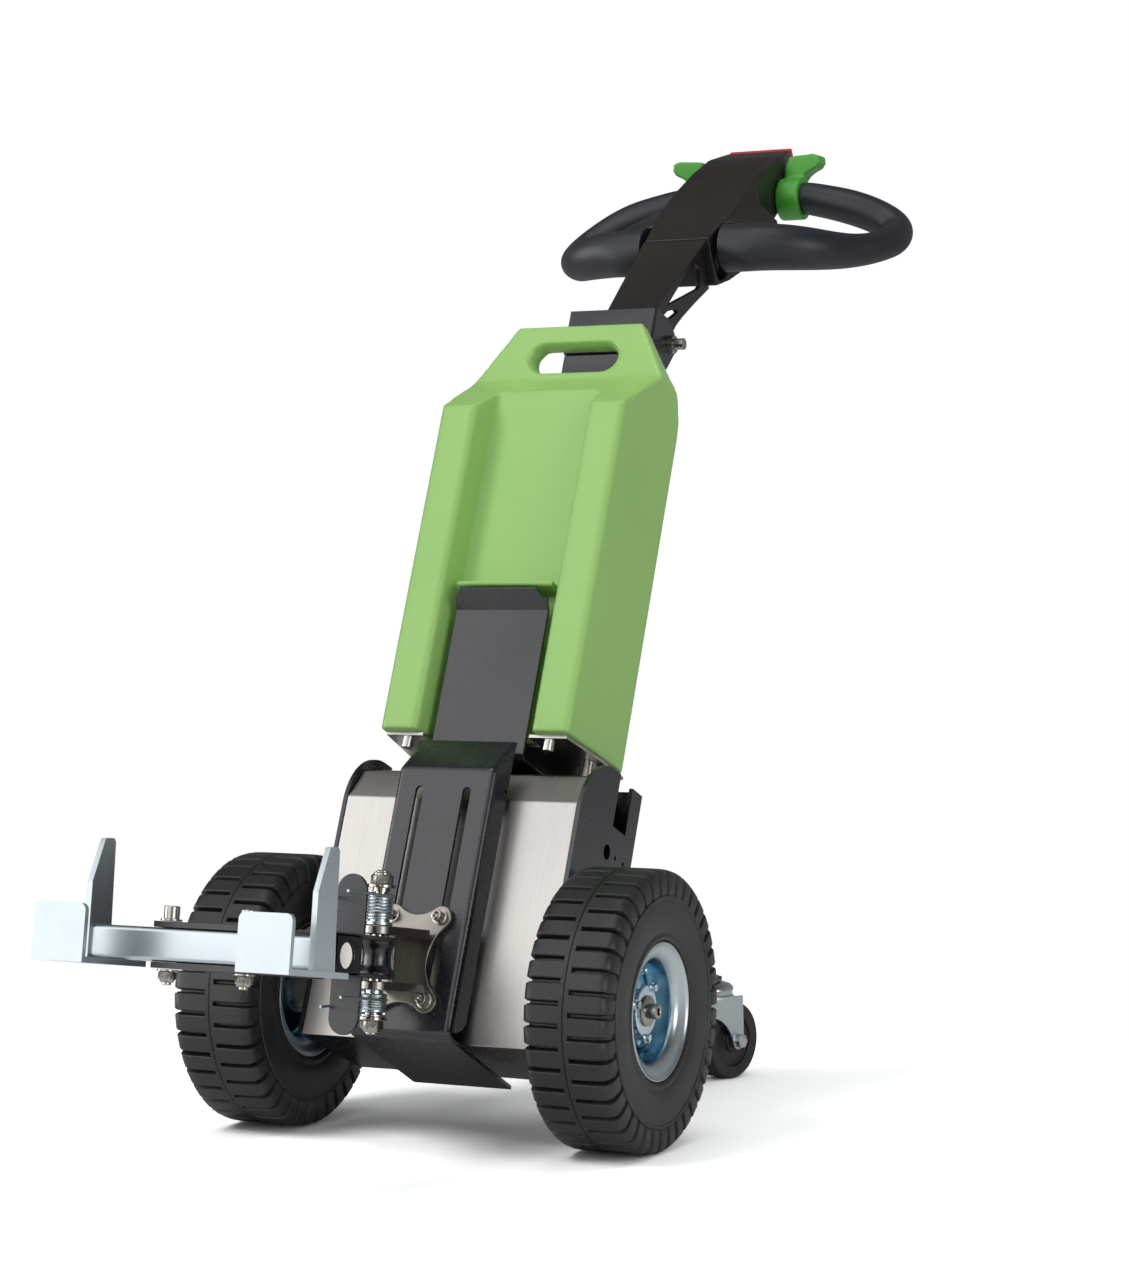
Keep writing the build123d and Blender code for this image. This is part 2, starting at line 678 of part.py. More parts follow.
# Battery pack hull: leaning block with a bevelled head, a carry slot and a front channel
with BuildPart() as pack_hull:
    for n, half in ((PACK_REAR_N, PACK_REAR_HALF), (PACK_FRONT_N, PACK_FRONT_HALF)):
        with BuildSketch(front(BODY, COLUMN_TILT, n)):
            with BuildLine():
                Polyline(
                    (-half, PACK_BOTTOM_S),
                    (half, PACK_BOTTOM_S),
                    (half, PACK_CREASE_S),
                    (PACK_TOP_HALF, PACK_TOP_S),
                    (-PACK_TOP_HALF, PACK_TOP_S),
                    (-half, PACK_CREASE_S),
                    close=True,
                )
            make_face()
    loft(ruled=True)
    with BuildSketch(side(BODY, COLUMN_TILT, 130)):
        with BuildLine():
            Polyline(
                (PACK_REAR_N, PACK_BOTTOM_S),
                (PACK_FRONT_N, PACK_BOTTOM_S),
                (PACK_FRONT_N, PACK_SHOULDER_S),
                (31, PACK_CREASE_S),
                (25, PACK_TOP_S),
                (9, PACK_TOP_S),
                (4, PACK_CREASE_S + 8),
                (-10, PACK_CREASE_S - 9),
                (PACK_REAR_N, PACK_SHOULDER_S - 7),
                close=True,
            )
        make_face()
    extrude(amount=260, mode=Mode.INTERSECT)
    with BuildSketch(front(BODY, COLUMN_TILT, CHANNEL_N)):
        with Locations((0, (PACK_BOTTOM_S + 780) / 2)):
            Rectangle(2 * CHANNEL_HALF, 780 - PACK_BOTTOM_S)
    extrude(amount=60, taper=-8, mode=Mode.SUBTRACT)
    with BuildSketch(front(BODY, COLUMN_TILT, CHANNEL_N - 1)):
        with Locations((0, LEDGE_S - 3)):
            Rectangle(2 * GUIDE_HALF + 6, 6)
    extrude(amount=LEDGE_N - CHANNEL_N + 1)
    with BuildSketch(front(BODY, COLUMN_TILT, PACK_REAR_N - 4)):
        with Locations((0, SLOT_MID_S)):
            SlotOverall(2 * SLOT_HALF - 8, SLOT_TALL - 8)
    extrude(amount=100, mode=Mode.SUBTRACT)
    with BuildSketch(front(BODY, COLUMN_TILT, PACK_TOP_N - SLOT_FLARE)):
        with Locations((0, SLOT_MID_S)):
            SlotOverall(2 * SLOT_HALF - 8, SLOT_TALL - 8)
    extrude(amount=2 * SLOT_FLARE, taper=-23, mode=Mode.SUBTRACT)
    fillet([e for e in pack_hull.edges() if e.length > 300 and forward(e) > CHANNEL_N + 18], PACK_ROUND)
    fillet([e for e in pack_hull.edges() if e.length > 300 and forward(e) < 0], PACK_REAR_ROUND)
pack_hull.part.label = "pack_hull"
export_step(pack_hull.part, "parts/pack_hull.step")

# Bright base plate under the pack, and its two screws
BASE_T = 3.0
BASE_S = PACK_BOTTOM_S - SEAT_GAP - BASE_T
POST_INSET = 37.0
BASE_SCREW_X = 76.0
BASE_SCREW_N = 80.0
with BuildPart() as pack_base:
    with BuildSketch(top(BODY, COLUMN_TILT, BASE_S)):
        with BuildLine():
            Polyline(
                (-104, 34),
                (-104, -20),
                (-97, -87),
                (-57, -87),
                (-57, -60),
                (57, -60),
                (57, -87),
                (97, -87),
                (104, -20),
                (104, 34),
                close=True,
            )
        make_face()
    extrude(amount=BASE_T)
    with BuildSketch(top(BODY, COLUMN_TILT, BASE_S - 11)):
        with Locations((-BASE_SCREW_X, -BASE_SCREW_N), (BASE_SCREW_X, -BASE_SCREW_N)):
            Circle(5.2)
    extrude(amount=11)
pack_base.part.label = "pack_base"
export_step(pack_base.part, "parts/pack_base.step")

# Posts on the deck that the pack stands on
POST_X = BODY_HALF_WIDTH - POST_INSET
POSTS = ((-POST_X, -18), (POST_X, -18), (-POST_X, 18), (POST_X, 18))
with BuildPart() as pack_posts:
    with BuildSketch(top(BODY, COLUMN_TILT, DECK_S + SEAT_GAP)):
        with Locations(*POSTS):
            Circle(8)
    extrude(amount=BASE_S - SEAT_GAP - DECK_S - SEAT_GAP)
pack_posts.part.label = "pack_posts"
export_step(pack_posts.part, "parts/pack_posts.step")

# Hitch bracket on the slotted plate
BRACKET_N = HITCH_PLATE_N + SEAT_GAP
with BuildPart() as hitch_bracket:
    with BuildSketch(top(PIN, HITCH_TILT, -34)):
        with BuildLine():
            Polyline((-14, 0), (-22, 80), (22, 80), (14, 0), (-14, 0))
        make_face()
        Circle(14)
    extrude(amount=8)
    with BuildSketch(top(PIN, HITCH_TILT, 16)):
        with BuildLine():
            Polyline((-14, 0), (-22, 80), (22, 80), (14, 0), (-14, 0))
        make_face()
        Circle(14)
    extrude(amount=8)
    with BuildSketch(side(PIN, HITCH_TILT, 3)):
        with BuildLine():
            Polyline((-26, -30), (-26, 20), (-90, 40), (-90, -50), close=True)
        make_face()
    extrude(amount=6)
    with BuildSketch(front(BODY, COLUMN_TILT, BRACKET_N - 80)):
        Rectangle(400, 800)
    extrude(amount=80, mode=Mode.SUBTRACT)
    with BuildSketch(front(BODY, COLUMN_TILT, BRACKET_N)):
        with Locations((0, (EAR_LOW_S + EAR_HIGH_S) / 2)):
            Rectangle(2 * SLOT_X, EAR_HIGH_S - EAR_LOW_S + 2 * EAR_R)
        with Locations(
            (-SLOT_X, EAR_LOW_S),
            (SLOT_X, EAR_LOW_S),
            (-SLOT_X, EAR_HIGH_S),
            (SLOT_X, EAR_HIGH_S),
        ):
            Circle(EAR_R)
        with Locations((-40, 135), (40, 135)):
            Circle(22.5, mode=Mode.SUBTRACT)
        with Locations((0, EAR_LOW_S - 31), (0, EAR_HIGH_S + 31)):
            Circle(28, mode=Mode.SUBTRACT)
    extrude(amount=BRACKET_T)
    with BuildSketch(front(BODY, COLUMN_TILT, BRACKET_N - 1)):
        with Locations(
            (-SLOT_X, EAR_LOW_S),
            (SLOT_X, EAR_LOW_S),
            (-SLOT_X, EAR_HIGH_S),
            (SLOT_X, EAR_HIGH_S),
        ):
            Circle(SLOT_W / 2)
    extrude(amount=BRACKET_T + 60, mode=Mode.SUBTRACT)
    with BuildSketch(top(PIN, HITCH_TILT, -60)):
        Circle(PIN_D / 2 + SHAFT_GAP)
    extrude(amount=120, mode=Mode.SUBTRACT)
hitch_bracket.part.label = "hitch_bracket"
export_step(hitch_bracket.part, "parts/hitch_bracket.step")

# Screws through the slots, each with a washer behind the slotted plate
EARS = (
    (-SLOT_X, EAR_LOW_S),
    (SLOT_X, EAR_LOW_S),
    (-SLOT_X, EAR_HIGH_S),
    (SLOT_X, EAR_HIGH_S),
)
SCREW_D = SLOT_W - SCREW_GAP
NUT_T = 6.0
NUT_N = HITCH_PLATE_N - HITCH_PLATE_T - SEAT_GAP - NUT_T
HEAD_N = BRACKET_N + BRACKET_T + SEAT_GAP
HEAD_T = 8.0
with BuildPart() as bracket_screws:
    for n_low, thick, radius in (
        (NUT_N, NUT_T, 7.0),
        (NUT_N, HEAD_N + HEAD_T - NUT_N, SCREW_D / 2),
        (HEAD_N, HEAD_T, 6.5),
    ):
        with BuildSketch(front(BODY, COLUMN_TILT, n_low)):
            with Locations(*EARS):
                Circle(radius)
        extrude(amount=thick)
bracket_screws.part.label = "bracket_screws"
export_step(bracket_screws.part, "parts/bracket_screws.step")

# Swivel pin with washers and nuts
with BuildPart() as hitch_pin:
    with BuildSketch(top(PIN, HITCH_TILT, -74)):
        Circle(PIN_D / 2)
    extrude(amount=148)
    for w_low, thick, radius in ((58, 3, 13), (-61, 3, 13)):
        with BuildSketch(top(PIN, HITCH_TILT, w_low)):
            Circle(radius)
        extrude(amount=thick)
    for w_low in (61, -72):
        with BuildSketch(top(PIN, HITCH_TILT, w_low)):
            RegularPolygon(10, 6)
        extrude(amount=11)
hitch_pin.part.label = "hitch_pin"
export_step(hitch_pin.part, "parts/hitch_pin.step")

# Centring springs
for name, w_low, w_high in (("upper", 24.3, 57.7), ("lower", -57.7, -34.3)):
    with BuildPart() as spring:
        with BuildSketch(top(PIN, HITCH_TILT, w_low)):
            Circle(12)
            Circle(PIN_D / 2 + 1, mode=Mode.SUBTRACT)
        extrude(amount=w_high - w_low)
    spring.part.label = "spring_" + name
    export_step(spring.part, "parts/spring_" + name + ".step")

# Swinging arm: knuckle barrel, arm and the tall plate behind it
ARM_END_U = BEAM_FRONT_U - BEAM_SIZE - SEAT_GAP
PIN_UP = (0, sin(radians(HITCH_TILT)), cos(radians(HITCH_TILT)))
with BuildPart() as hitch_arm:
    with BuildSketch(side(PIN, HITCH_TILT, 0)):
        with BuildLine():
            Polyline((BARREL_R, -19), (BARREL_R, -24), (0, -24), (0, 14), (BARREL_R, 14), (BARREL_R, 9))
            ThreePointArc((BARREL_R, 9), (BARREL_R - 4, -5), (BARREL_R, -19))
        make_face()
    revolve(axis=Axis((0, *PIN), PIN_UP))
    with BuildSketch(side(PIN, HITCH_TILT, 14)):
        with BuildLine():
            Polyline(
                (0, -24),
                (0, 14),
                (105, 14),
                (118, BEAM_MID_W + BEAM_SIZE / 2),
                (ARM_END_U, BEAM_MID_W + BEAM_SIZE / 2),
                (ARM_END_U, BEAM_MID_W - BEAM_SIZE / 2),
                (118, BEAM_MID_W - BEAM_SIZE / 2),
                (105, -24),
                close=True,
            )
        make_face()
    extrude(amount=28)
    with BuildSketch(side(PIN, HITCH_TILT, 20)):
        with Locations((86, -6)):
            RectangleRounded(30, 20, 8)
    extrude(amount=40, mode=Mode.SUBTRACT)
    for x_face in (14, -6):
        with BuildSketch(side(PIN, HITCH_TILT, x_face)):
            with Locations((63, -5)):
                RectangleRounded(86, 24, 6)
        extrude(amount=8, mode=Mode.SUBTRACT)
    with BuildSketch(front(PIN, HITCH_TILT, 50)):
        with Locations((0, -4)):
            SlotOverall(143, 30, rotation=90)
    extrude(amount=4)
    with BuildSketch(top(PIN, HITCH_TILT, -40)):
        Circle(PIN_D / 2 + SHAFT_GAP)
    extrude(amount=80, mode=Mode.SUBTRACT)
hitch_arm.part.label = "hitch_arm"
export_step(hitch_arm.part, "parts/hitch_arm.step")

# Clamp plates over and under the cross tube
BEAM_LOW_W = BEAM_MID_W - BEAM_SIZE / 2
BEAM_HIGH_W = BEAM_MID_W + BEAM_SIZE / 2
for name, w_low in (("top", BEAM_HIGH_W + SEAT_GAP), ("bottom", BEAM_LOW_W - SEAT_GAP - 5)):
    with BuildPart() as clamp_plate:
        with BuildSketch(top(PIN, HITCH_TILT, w_low)):
            with BuildLine():
                Polyline(
                    (-16, -120),
                    (-CLAMP_HALF, -230),
                    (-CLAMP_HALF, -BEAM_FRONT_U + 1),
                    (CLAMP_HALF, -BEAM_FRONT_U + 1),
                    (CLAMP_HALF, -230),
                    (16, -120),
                    close=True,
                )
            make_face()
            with Locations((-CLAMP_BOLT_X, -CLAMP_BOLT_U), (CLAMP_BOLT_X, -CLAMP_BOLT_U)):
                Circle((CLAMP_BOLT_D + SCREW_GAP) / 2, mode=Mode.SUBTRACT)
        extrude(amount=5)
    clamp_plate.part.label = "clamp_plate_" + name
    export_step(clamp_plate.part, "parts/clamp_plate_" + name + ".step")

# Cross tube with the two claws
with BuildPart() as cradle:
    with BuildSketch(side(PIN, HITCH_TILT, BEAM_HALF)):
        with Locations((BEAM_FRONT_U - BEAM_SIZE / 2, BEAM_MID_W)):
            RectangleRounded(BEAM_SIZE, BEAM_SIZE, 4)
            RectangleRounded(BEAM_SIZE - 2 * BEAM_WALL, BEAM_SIZE - 2 * BEAM_WALL, 2, mode=Mode.SUBTRACT)
    extrude(amount=2 * BEAM_HALF)
    with BuildSketch(top(PIN, HITCH_TILT, BEAM_LOW_W - 1)):
        with Locations((-CLAMP_BOLT_X, -CLAMP_BOLT_U), (CLAMP_BOLT_X, -CLAMP_BOLT_U)):
            Circle((CLAMP_BOLT_D + SCREW_GAP) / 2)
    extrude(amount=BEAM_SIZE + 2, mode=Mode.SUBTRACT)
    for x_face in (CLAW_OUTER_X, -CLAW_INNER_X):
        with BuildSketch(side(PIN, HITCH_TILT, x_face)):
            with BuildLine():
                Polyline(
                    (CLAW_FRONT_U, -28),
                    (CLAW_FRONT_U, 20),
                    (CLAW_FRONT_U - CLAW_T, 20),
                    (CLAW_FRONT_U - CLAW_T, -28 + CLAW_T),
                    (265, -28 + CLAW_T),
                    (265, -28),
                    close=True,
                )
            make_face()
        extrude(amount=CLAW_OUTER_X - CLAW_INNER_X)
    for x_face in (BEAM_HALF + FINGER_T, -BEAM_HALF):
        with BuildSketch(side(PIN, HITCH_TILT, x_face)):
            with BuildLine():
                Polyline(
                    (268, -26),
                    (BEAM_FRONT_U + 3, -26),
                    (BEAM_FRONT_U + 4, 40),
                    (291, 73),
                    (289, 77),
                    (277, 78),
                    (274, 75),
                    (271, 10),
                    close=True,
                )
            make_face()
        extrude(amount=FINGER_T)
    lips = [e for e in cradle.edges() if abs(e.length - CLAW_T) < 0.01]
    fillet([e for e in lips if from_pin(e)[0] > CLAW_FRONT_U - CLAW_T and from_pin(e)[1] > 19], LIP_R)
cradle.part.label = "cradle"
export_step(cradle.part, "parts/cradle.step")

# Clamp bolts beside the arm
with BuildPart() as clamp_bolts:
    for x_at in (-CLAMP_BOLT_X, CLAMP_BOLT_X):
        with BuildSketch(top(PIN, HITCH_TILT, BEAM_HIGH_W + 5 + 2 * SEAT_GAP)):
            with Locations((x_at, -CLAMP_BOLT_U)):
                Circle(6.6)
        extrude(amount=11)
        with BuildSketch(top(PIN, HITCH_TILT, BEAM_LOW_W - 5 - 2 * SEAT_GAP - 12)):
            with Locations((x_at, -CLAMP_BOLT_U)):
                RegularPolygon(7, 6)
        extrude(amount=8)
        with BuildSketch(top(PIN, HITCH_TILT, BEAM_LOW_W - 5 - 2 * SEAT_GAP - 12)):
            with Locations((x_at, -CLAMP_BOLT_U)):
                Circle(CLAMP_BOLT_D / 2)
        extrude(amount=BEAM_SIZE + 24)
clamp_bolts.part.label = "clamp_bolts"
export_step(clamp_bolts.part, "parts/clamp_bolts.step")

# Tiller neck: front plate, two open side webs and the hinge boss
NECK = machine(421.0, 813.8)
NECK_TILT = 53.6
NECK_LEN = 138.0
NECK_LOW_HALF = 28.5
NECK_HIGH_HALF = 37.5
NECK_PLATE_T = 5.0
WEB_T = 5.0
HEAD_STEP_Y = 1.925
HEAD_STEP_Z = 1.308
HEAD = (
    NECK[0] + NECK_LEN * sin(radians(NECK_TILT)) + HEAD_STEP_Y,
    NECK[1] + NECK_LEN * cos(radians(NECK_TILT)) + HEAD_STEP_Z,
)
HEAD_TILT = 62.2


def at_head(y, z):
    return HEAD[0] + y, HEAD[1] + z


def web_point(y, z, end):
    return at_head(y, z) if end else machine(y, z)


# Side webs: y and z from the machine's middle (end 0) or from the head's foot (end 1)
WEB_OUTLINE = (
    (390, 762, 0),
    (388, 782, 0),
    (405, 804, 0),
    (421, 813.8, 0),
    (-1.8, -1.6, 1),
    (25.5, -52, 1),
    (517, 824, 0),
    (488.5, 809, 0),
    (469, 797, 0),
    (440, 770, 0),
    (410, 757, 0),
)
WEB_HOLES = (
    ((447, 817, 0), (-4, -55, 1), (1, -51, 1), (1, -33, 1), (-4, -29, 1), (-12, -29, 1), (490, 850, 0)),
    ((437, 806, 0), (447, 811, 0), (469, 815, 0), (475, 812, 0), (453, 803, 0)),
)
with BuildPart() as tiller_neck:
    for x_low in (-NECK_LOW_HALF, NECK_LOW_HALF - WEB_T):
        with BuildSketch(Plane.YZ.offset(x_low)):
            with BuildLine():
                Polyline(*[web_point(*spot) for spot in WEB_OUTLINE], close=True)
            make_face()
            for hole in WEB_HOLES:
                with BuildLine():
                    Polyline(*[web_point(*spot) for spot in hole], close=True)
                make_face(mode=Mode.SUBTRACT)
        extrude(amount=WEB_T)
    with BuildSketch(front(NECK, NECK_TILT, -NECK_PLATE_T)):
        with BuildLine():
            Polyline(
                (-NECK_LOW_HALF, -4),
                (NECK_LOW_HALF, -4),
                (NECK_HIGH_HALF, NECK_LEN - 1),
                (-NECK_HIGH_HALF, NECK_LEN - 1),
                close=True,
            )
        make_face()
    extrude(amount=NECK_PLATE_T)
    with BuildSketch(Plane.YZ.offset(-BRACKET_HALF + BRACKET_PLATE_T + SEAT_GAP)):
        with Locations(hinge):
            Circle(13)
    extrude(amount=2 * (BRACKET_HALF - BRACKET_PLATE_T - SEAT_GAP))
    with BuildSketch(Plane.YZ.offset(-BRACKET_HALF)):
        with Locations(hinge):
            Circle(HINGE_D / 2 + SHAFT_GAP)
    extrude(amount=2 * BRACKET_HALF, mode=Mode.SUBTRACT)
tiller_neck.part.label = "tiller_neck"
export_step(tiller_neck.part, "parts/tiller_neck.step")

# Stations of the grip loops: x, y and z from the head's foot, and radius
LOOP = (
    (46.5, 31, -8, 26.5),
    (95, 33.5, -9, 25.5),
    (127, 49, -10.3, 23.9),
    (146, 70.6, -11, 21.7),
    (160, 93.6, -10.3, 19.5),
    (174, 114, -7.7, 17.8),
    (186, 136.4, -1.8, 17.2),
    (192.6, 164, 8.3, 17.6),
    (186, 185.8, 22, 18.6),
    (161, 192, 38, 19.3),
    (125, 191, 51.5, 19.3),
    (91, 193, 60, 18.5),
    (74, 195, 63, 18),
)


COLLAR_IN = LOOP[0][0]
COLLAR_OUT = LOOP[-1][0] - 0.5


def loop_frames(sign):
    # planes square to the loop's run, one at each station, all turned the same way
    spots = [Vector(sign * x, *at_head(y, z)) for x, y, z, radius in LOOP]
    planes = []
    for i, spot in enumerate(spots):
        run = (spots[min(i + 1, len(spots) - 1)] - spots[max(i - 1, 0)]).normalized()
        if i == 0:
            run = Vector(sign, 0, 0)
        if i == len(spots) - 1:
            run = Vector(-sign, 0, 0)
        level = Vector(0.2 * sign, -0.4, 0.9)
        planes.append(Plane(origin=spot, x_dir=level - run * level.dot(run), z_dir=run))
    return planes


# Tiller head: humped cover with narrow tip and wide shoulders over the loops' roots
LABEL = ((-34.5, 157), (-32.5, 155), (32.5, 155), (34.5, 157), (37.6, 196), (35.6, 198), (-35.6, 198), (-37.6, 196))
SHOULDER = (
    (40, ((7, 70), (9, 150), (-30, 150), (-40, 60), (-30, 40), (4, 40))),
    (58, ((-1, 68), (-3, 110), (-25, 110), (-32, 60), (-26, 42), (-2, 44))),
    (92, ((-9, 58), (-10, 70), (-20, 70), (-24, 58), (-20, 48), (-11, 48))),
)
with BuildPart() as tiller_head:
    with BuildSketch(front(HEAD, HEAD_TILT, -66)):
        with BuildLine():
            Polyline(
                (-38, SEAT_GAP),
                (-46, 70),
                (-46, 232),
                (-38.5, 268),
                (38.5, 268),
                (46, 232),
                (46, 70),
                (38, SEAT_GAP),
                close=True,
            )
        make_face()
    extrude(amount=82)
    with BuildSketch(side(HEAD, HEAD_TILT, 60)):
        with BuildLine():
            Polyline(
                (0, SEAT_GAP),
                (7, 70),
                (11, 120),
                (12, 175),
                (9, 225),
                (0, 270),
                (-34, 270),
                (-50, 150),
                (-64, 60),
                (-62, 30),
                (-56, SEAT_GAP),
                close=True,
            )
        make_face()
    extrude(amount=120, mode=Mode.INTERSECT)
    for sign in (-1, 1):
        for x_at, points in SHOULDER:
            with BuildSketch(side(HEAD, HEAD_TILT, sign * x_at)):
                with BuildLine():
                    Polyline(*points, close=True)
                make_face()
        loft(ruled=True)
        with BuildSketch(Plane.YZ.offset(sign * (COLLAR_IN - 0.5))):
            with Locations(at_head(LOOP[0][1], LOOP[0][2])):
                Circle(LOOP[0][3] + SEAT_GAP + SCREW_GAP)
        extrude(amount=sign * 70, mode=Mode.SUBTRACT)
        with BuildSketch(side(HEAD, HEAD_TILT, sign * 60)):
            with Locations((-40, 17)):
                RectangleRounded(28, 24, 9)
        extrude(amount=sign * 32, mode=Mode.SUBTRACT)
    with BuildSketch(front(HEAD, HEAD_TILT, 10.4)):
        with BuildLine():
            Polyline(*LABEL, close=True)
        make_face()
    extrude(amount=8, mode=Mode.SUBTRACT)
tiller_head.part.label = "tiller_head"
export_step(tiller_head.part, "parts/tiller_head.step")

# Grip loops, lofted through round sections
for hand, sign in (("left", -1), ("right", 1)):
    with BuildPart() as loop:
        for plane, (x, y, z, radius) in zip(loop_frames(sign), LOOP):
            with BuildSketch(plane):
                Circle(radius)
        loft()
    loop.part.label = "grip_loop_" + hand
    export_step(loop.part, "parts/grip_loop_" + hand + ".step")

# Thumb levers: a collar at the loop's upper root with a tab above it
TAB_Y = 208.0
TAB = (
    (48, 75),
    (48, 97),
    (54, 112),
    (82, 114),
    (90, 111.5),
    (91, 104),
    (87, 98),
    (80, 95),
    (73, 90),
    (67, 81),
    (66, 75),
)
for hand, sign in (("left", -1), ("right", 1)):
    low = min(sign * COLLAR_IN, sign * COLLAR_OUT)
    with BuildPart() as lever:
        with BuildSketch(Plane.YZ.offset(low)):
            with Locations(at_head(LOOP[-1][1], LOOP[-1][2])):
                Circle(24)
        extrude(amount=COLLAR_OUT - COLLAR_IN)
        with BuildSketch(Plane.XZ.offset(-(HEAD[0] + TAB_Y))):
            with BuildLine():
                Polyline(*[(sign * x, HEAD[1] + z) for x, z in TAB], close=True)
            make_face()
        extrude(amount=11, both=True)
    lever.part.label = "thumb_lever_" + hand
    export_step(lever.part, "parts/thumb_lever_" + hand + ".step")

# Red button on the head's tip
with BuildPart() as stop_button:
    with BuildSketch(side(HEAD, HEAD_TILT, 38)):
        with Locations((-13, 270 + SEAT_GAP + 4)):
            RectangleRounded(25, 8, 3)
    extrude(amount=76)
stop_button.part.label = "stop_button"
export_step(stop_button.part, "parts/stop_button.step")
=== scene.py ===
import json
from math import atan2, cos, pi, radians, sin, sqrt

import bmesh
import bpy
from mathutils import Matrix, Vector


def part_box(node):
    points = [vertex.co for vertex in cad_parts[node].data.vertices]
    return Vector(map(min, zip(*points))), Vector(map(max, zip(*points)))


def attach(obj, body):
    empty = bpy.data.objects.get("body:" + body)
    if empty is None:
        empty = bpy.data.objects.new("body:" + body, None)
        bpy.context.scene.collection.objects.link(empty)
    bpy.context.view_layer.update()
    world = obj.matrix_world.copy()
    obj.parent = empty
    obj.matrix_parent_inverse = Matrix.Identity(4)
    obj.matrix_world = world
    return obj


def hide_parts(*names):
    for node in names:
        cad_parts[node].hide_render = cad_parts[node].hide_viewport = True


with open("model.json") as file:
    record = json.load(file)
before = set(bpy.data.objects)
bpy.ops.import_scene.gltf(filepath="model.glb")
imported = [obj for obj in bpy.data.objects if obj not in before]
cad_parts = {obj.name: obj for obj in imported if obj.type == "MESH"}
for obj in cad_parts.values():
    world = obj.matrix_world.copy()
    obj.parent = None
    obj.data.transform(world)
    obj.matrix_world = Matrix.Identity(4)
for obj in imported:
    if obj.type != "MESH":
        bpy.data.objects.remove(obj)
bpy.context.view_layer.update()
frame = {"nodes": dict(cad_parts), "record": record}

MM = 0.001
COLUMN_TILT = radians(22.0)
HITCH_TILT = radians(8.5)
PIN_N, PIN_Z = 135.5, 187.5

# axle's place (AY, AZ) and half the track, read from the right tyre, in mm
tyre_low, tyre_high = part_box("tyre_right")
AY = (tyre_low[1] + tyre_high[1]) / 2 / MM
AZ = (tyre_low[2] + tyre_high[2]) / 2 / MM
TRACK_HALF = (tyre_low[0] + tyre_high[0]) / 2 / MM


def lean(origin_y, origin_z, tilt):
    """Row-frame place, in metres, of a point given across, forward of and up a leaning axis."""

    def place(x, n, s):
        y = origin_y + s * sin(tilt) - n * cos(tilt)
        z = origin_z + s * cos(tilt) + n * sin(tilt)
        return Vector((x, y, z)) * MM

    return place


body_at = lean(AY, 0.0, COLUMN_TILT)
hitch_at = lean(AY - PIN_N, PIN_Z, HITCH_TILT)

# ---------------------------------------------------------------- materials


def new_material(name):
    mat = bpy.data.materials.new(name)
    mat.use_nodes = True
    nodes = mat.node_tree.nodes
    nodes.clear()
    out = nodes.new("ShaderNodeOutputMaterial")
    shader = nodes.new("ShaderNodeBsdfPrincipled")
    mat.node_tree.links.new(shader.outputs[0], out.inputs[0])
    return mat, mat.node_tree, shader


def coords(tree, scale=(1, 1, 1)):
    tex = tree.nodes.new("ShaderNodeTexCoord")
    mapping = tree.nodes.new("ShaderNodeMapping")
    mapping.inputs["Scale"].default_value = scale
    tree.links.new(tex.outputs["Object"], mapping.inputs["Vector"])
    return mapping.outputs["Vector"]


def noise(tree, vector, scale, detail=3.0, rough=0.55):
    node = tree.nodes.new("ShaderNodeTexNoise")
    node.inputs["Scale"].default_value = scale
    node.inputs["Detail"].default_value = detail
    node.inputs["Roughness"].default_value = rough
    tree.links.new(vector, node.inputs["Vector"])
    return node.outputs["Fac"]


def ramp(tree, fac, low, high, at=(0.35, 0.65)):
    node = tree.nodes.new("ShaderNodeValToRGB")
    node.color_ramp.elements[0].position = at[0]
    node.color_ramp.elements[1].position = at[1]
    node.color_ramp.elements[0].color = (*low, 1)
    node.color_ramp.elements[1].color = (*high, 1)
    tree.links.new(fac, node.inputs["Fac"])
    return node.outputs["Color"]


def spread(tree, fac, low, high):
    """Maps a value from 0 to 1 onto the range from low to high."""
    node = tree.nodes.new("ShaderNodeMapRange")
    node.inputs["To Min"].default_value = low
    node.inputs["To Max"].default_value = high
    tree.links.new(fac, node.inputs["Value"])
    return node.outputs["Result"]


def add_bump(tree, shader, heights):
    """heights is a list of (output, strength, distance), stacked into one normal."""
    last = None
    for out, strength, distance in heights:
        node = tree.nodes.new("ShaderNodeBump")
        node.inputs["Strength"].default_value = strength
        node.inputs["Distance"].default_value = distance
        tree.links.new(out, node.inputs["Height"])
        if last is not None:
            tree.links.new(last, node.inputs["Normal"])
        last = node.outputs["Normal"]
    tree.links.new(last, shader.inputs["Normal"])


def plastic(name, low, high, roughness, grain, grain_depth, cloud=9.0, gloss=0.5):
    """A plastic, rubber or paint: two tones in soft clouds over a fine grain."""
    mat, tree, shader = new_material(name)
    at = coords(tree)
    big = noise(tree, at, cloud, 3)
    fine = noise(tree, at, grain, 2)
    tree.links.new(ramp(tree, big, low, high), shader.inputs["Base Color"])
    tree.links.new(spread(tree, fine, roughness - 0.06, roughness + 0.08), shader.inputs["Roughness"])
    shader.inputs["Specular IOR Level"].default_value = gloss
    add_bump(tree, shader, [(fine, 0.35, grain_depth), (big, 0.2, grain_depth * 3)])
    return mat


def brushed(name, low, high, roughness, scale, streak=0.00005):
    """A brushed metal: its streaks run across the axis that has the largest scale."""
    mat, tree, shader = new_material(name)
    at = coords(tree, scale)
    cloud = noise(tree, coords(tree), 6.0, 3)
    lines = noise(tree, at, 1.0, 4, 0.7)
    tree.links.new(ramp(tree, lines, low, high, (0.25, 0.75)), shader.inputs["Base Color"])
    shader.inputs["Metallic"].default_value = 1.0
    tree.links.new(spread(tree, lines, roughness - 0.07, roughness + 0.07), shader.inputs["Roughness"])
    add_bump(tree, shader, [(lines, 0.25, streak), (cloud, 0.15, 0.0006)])
    return mat


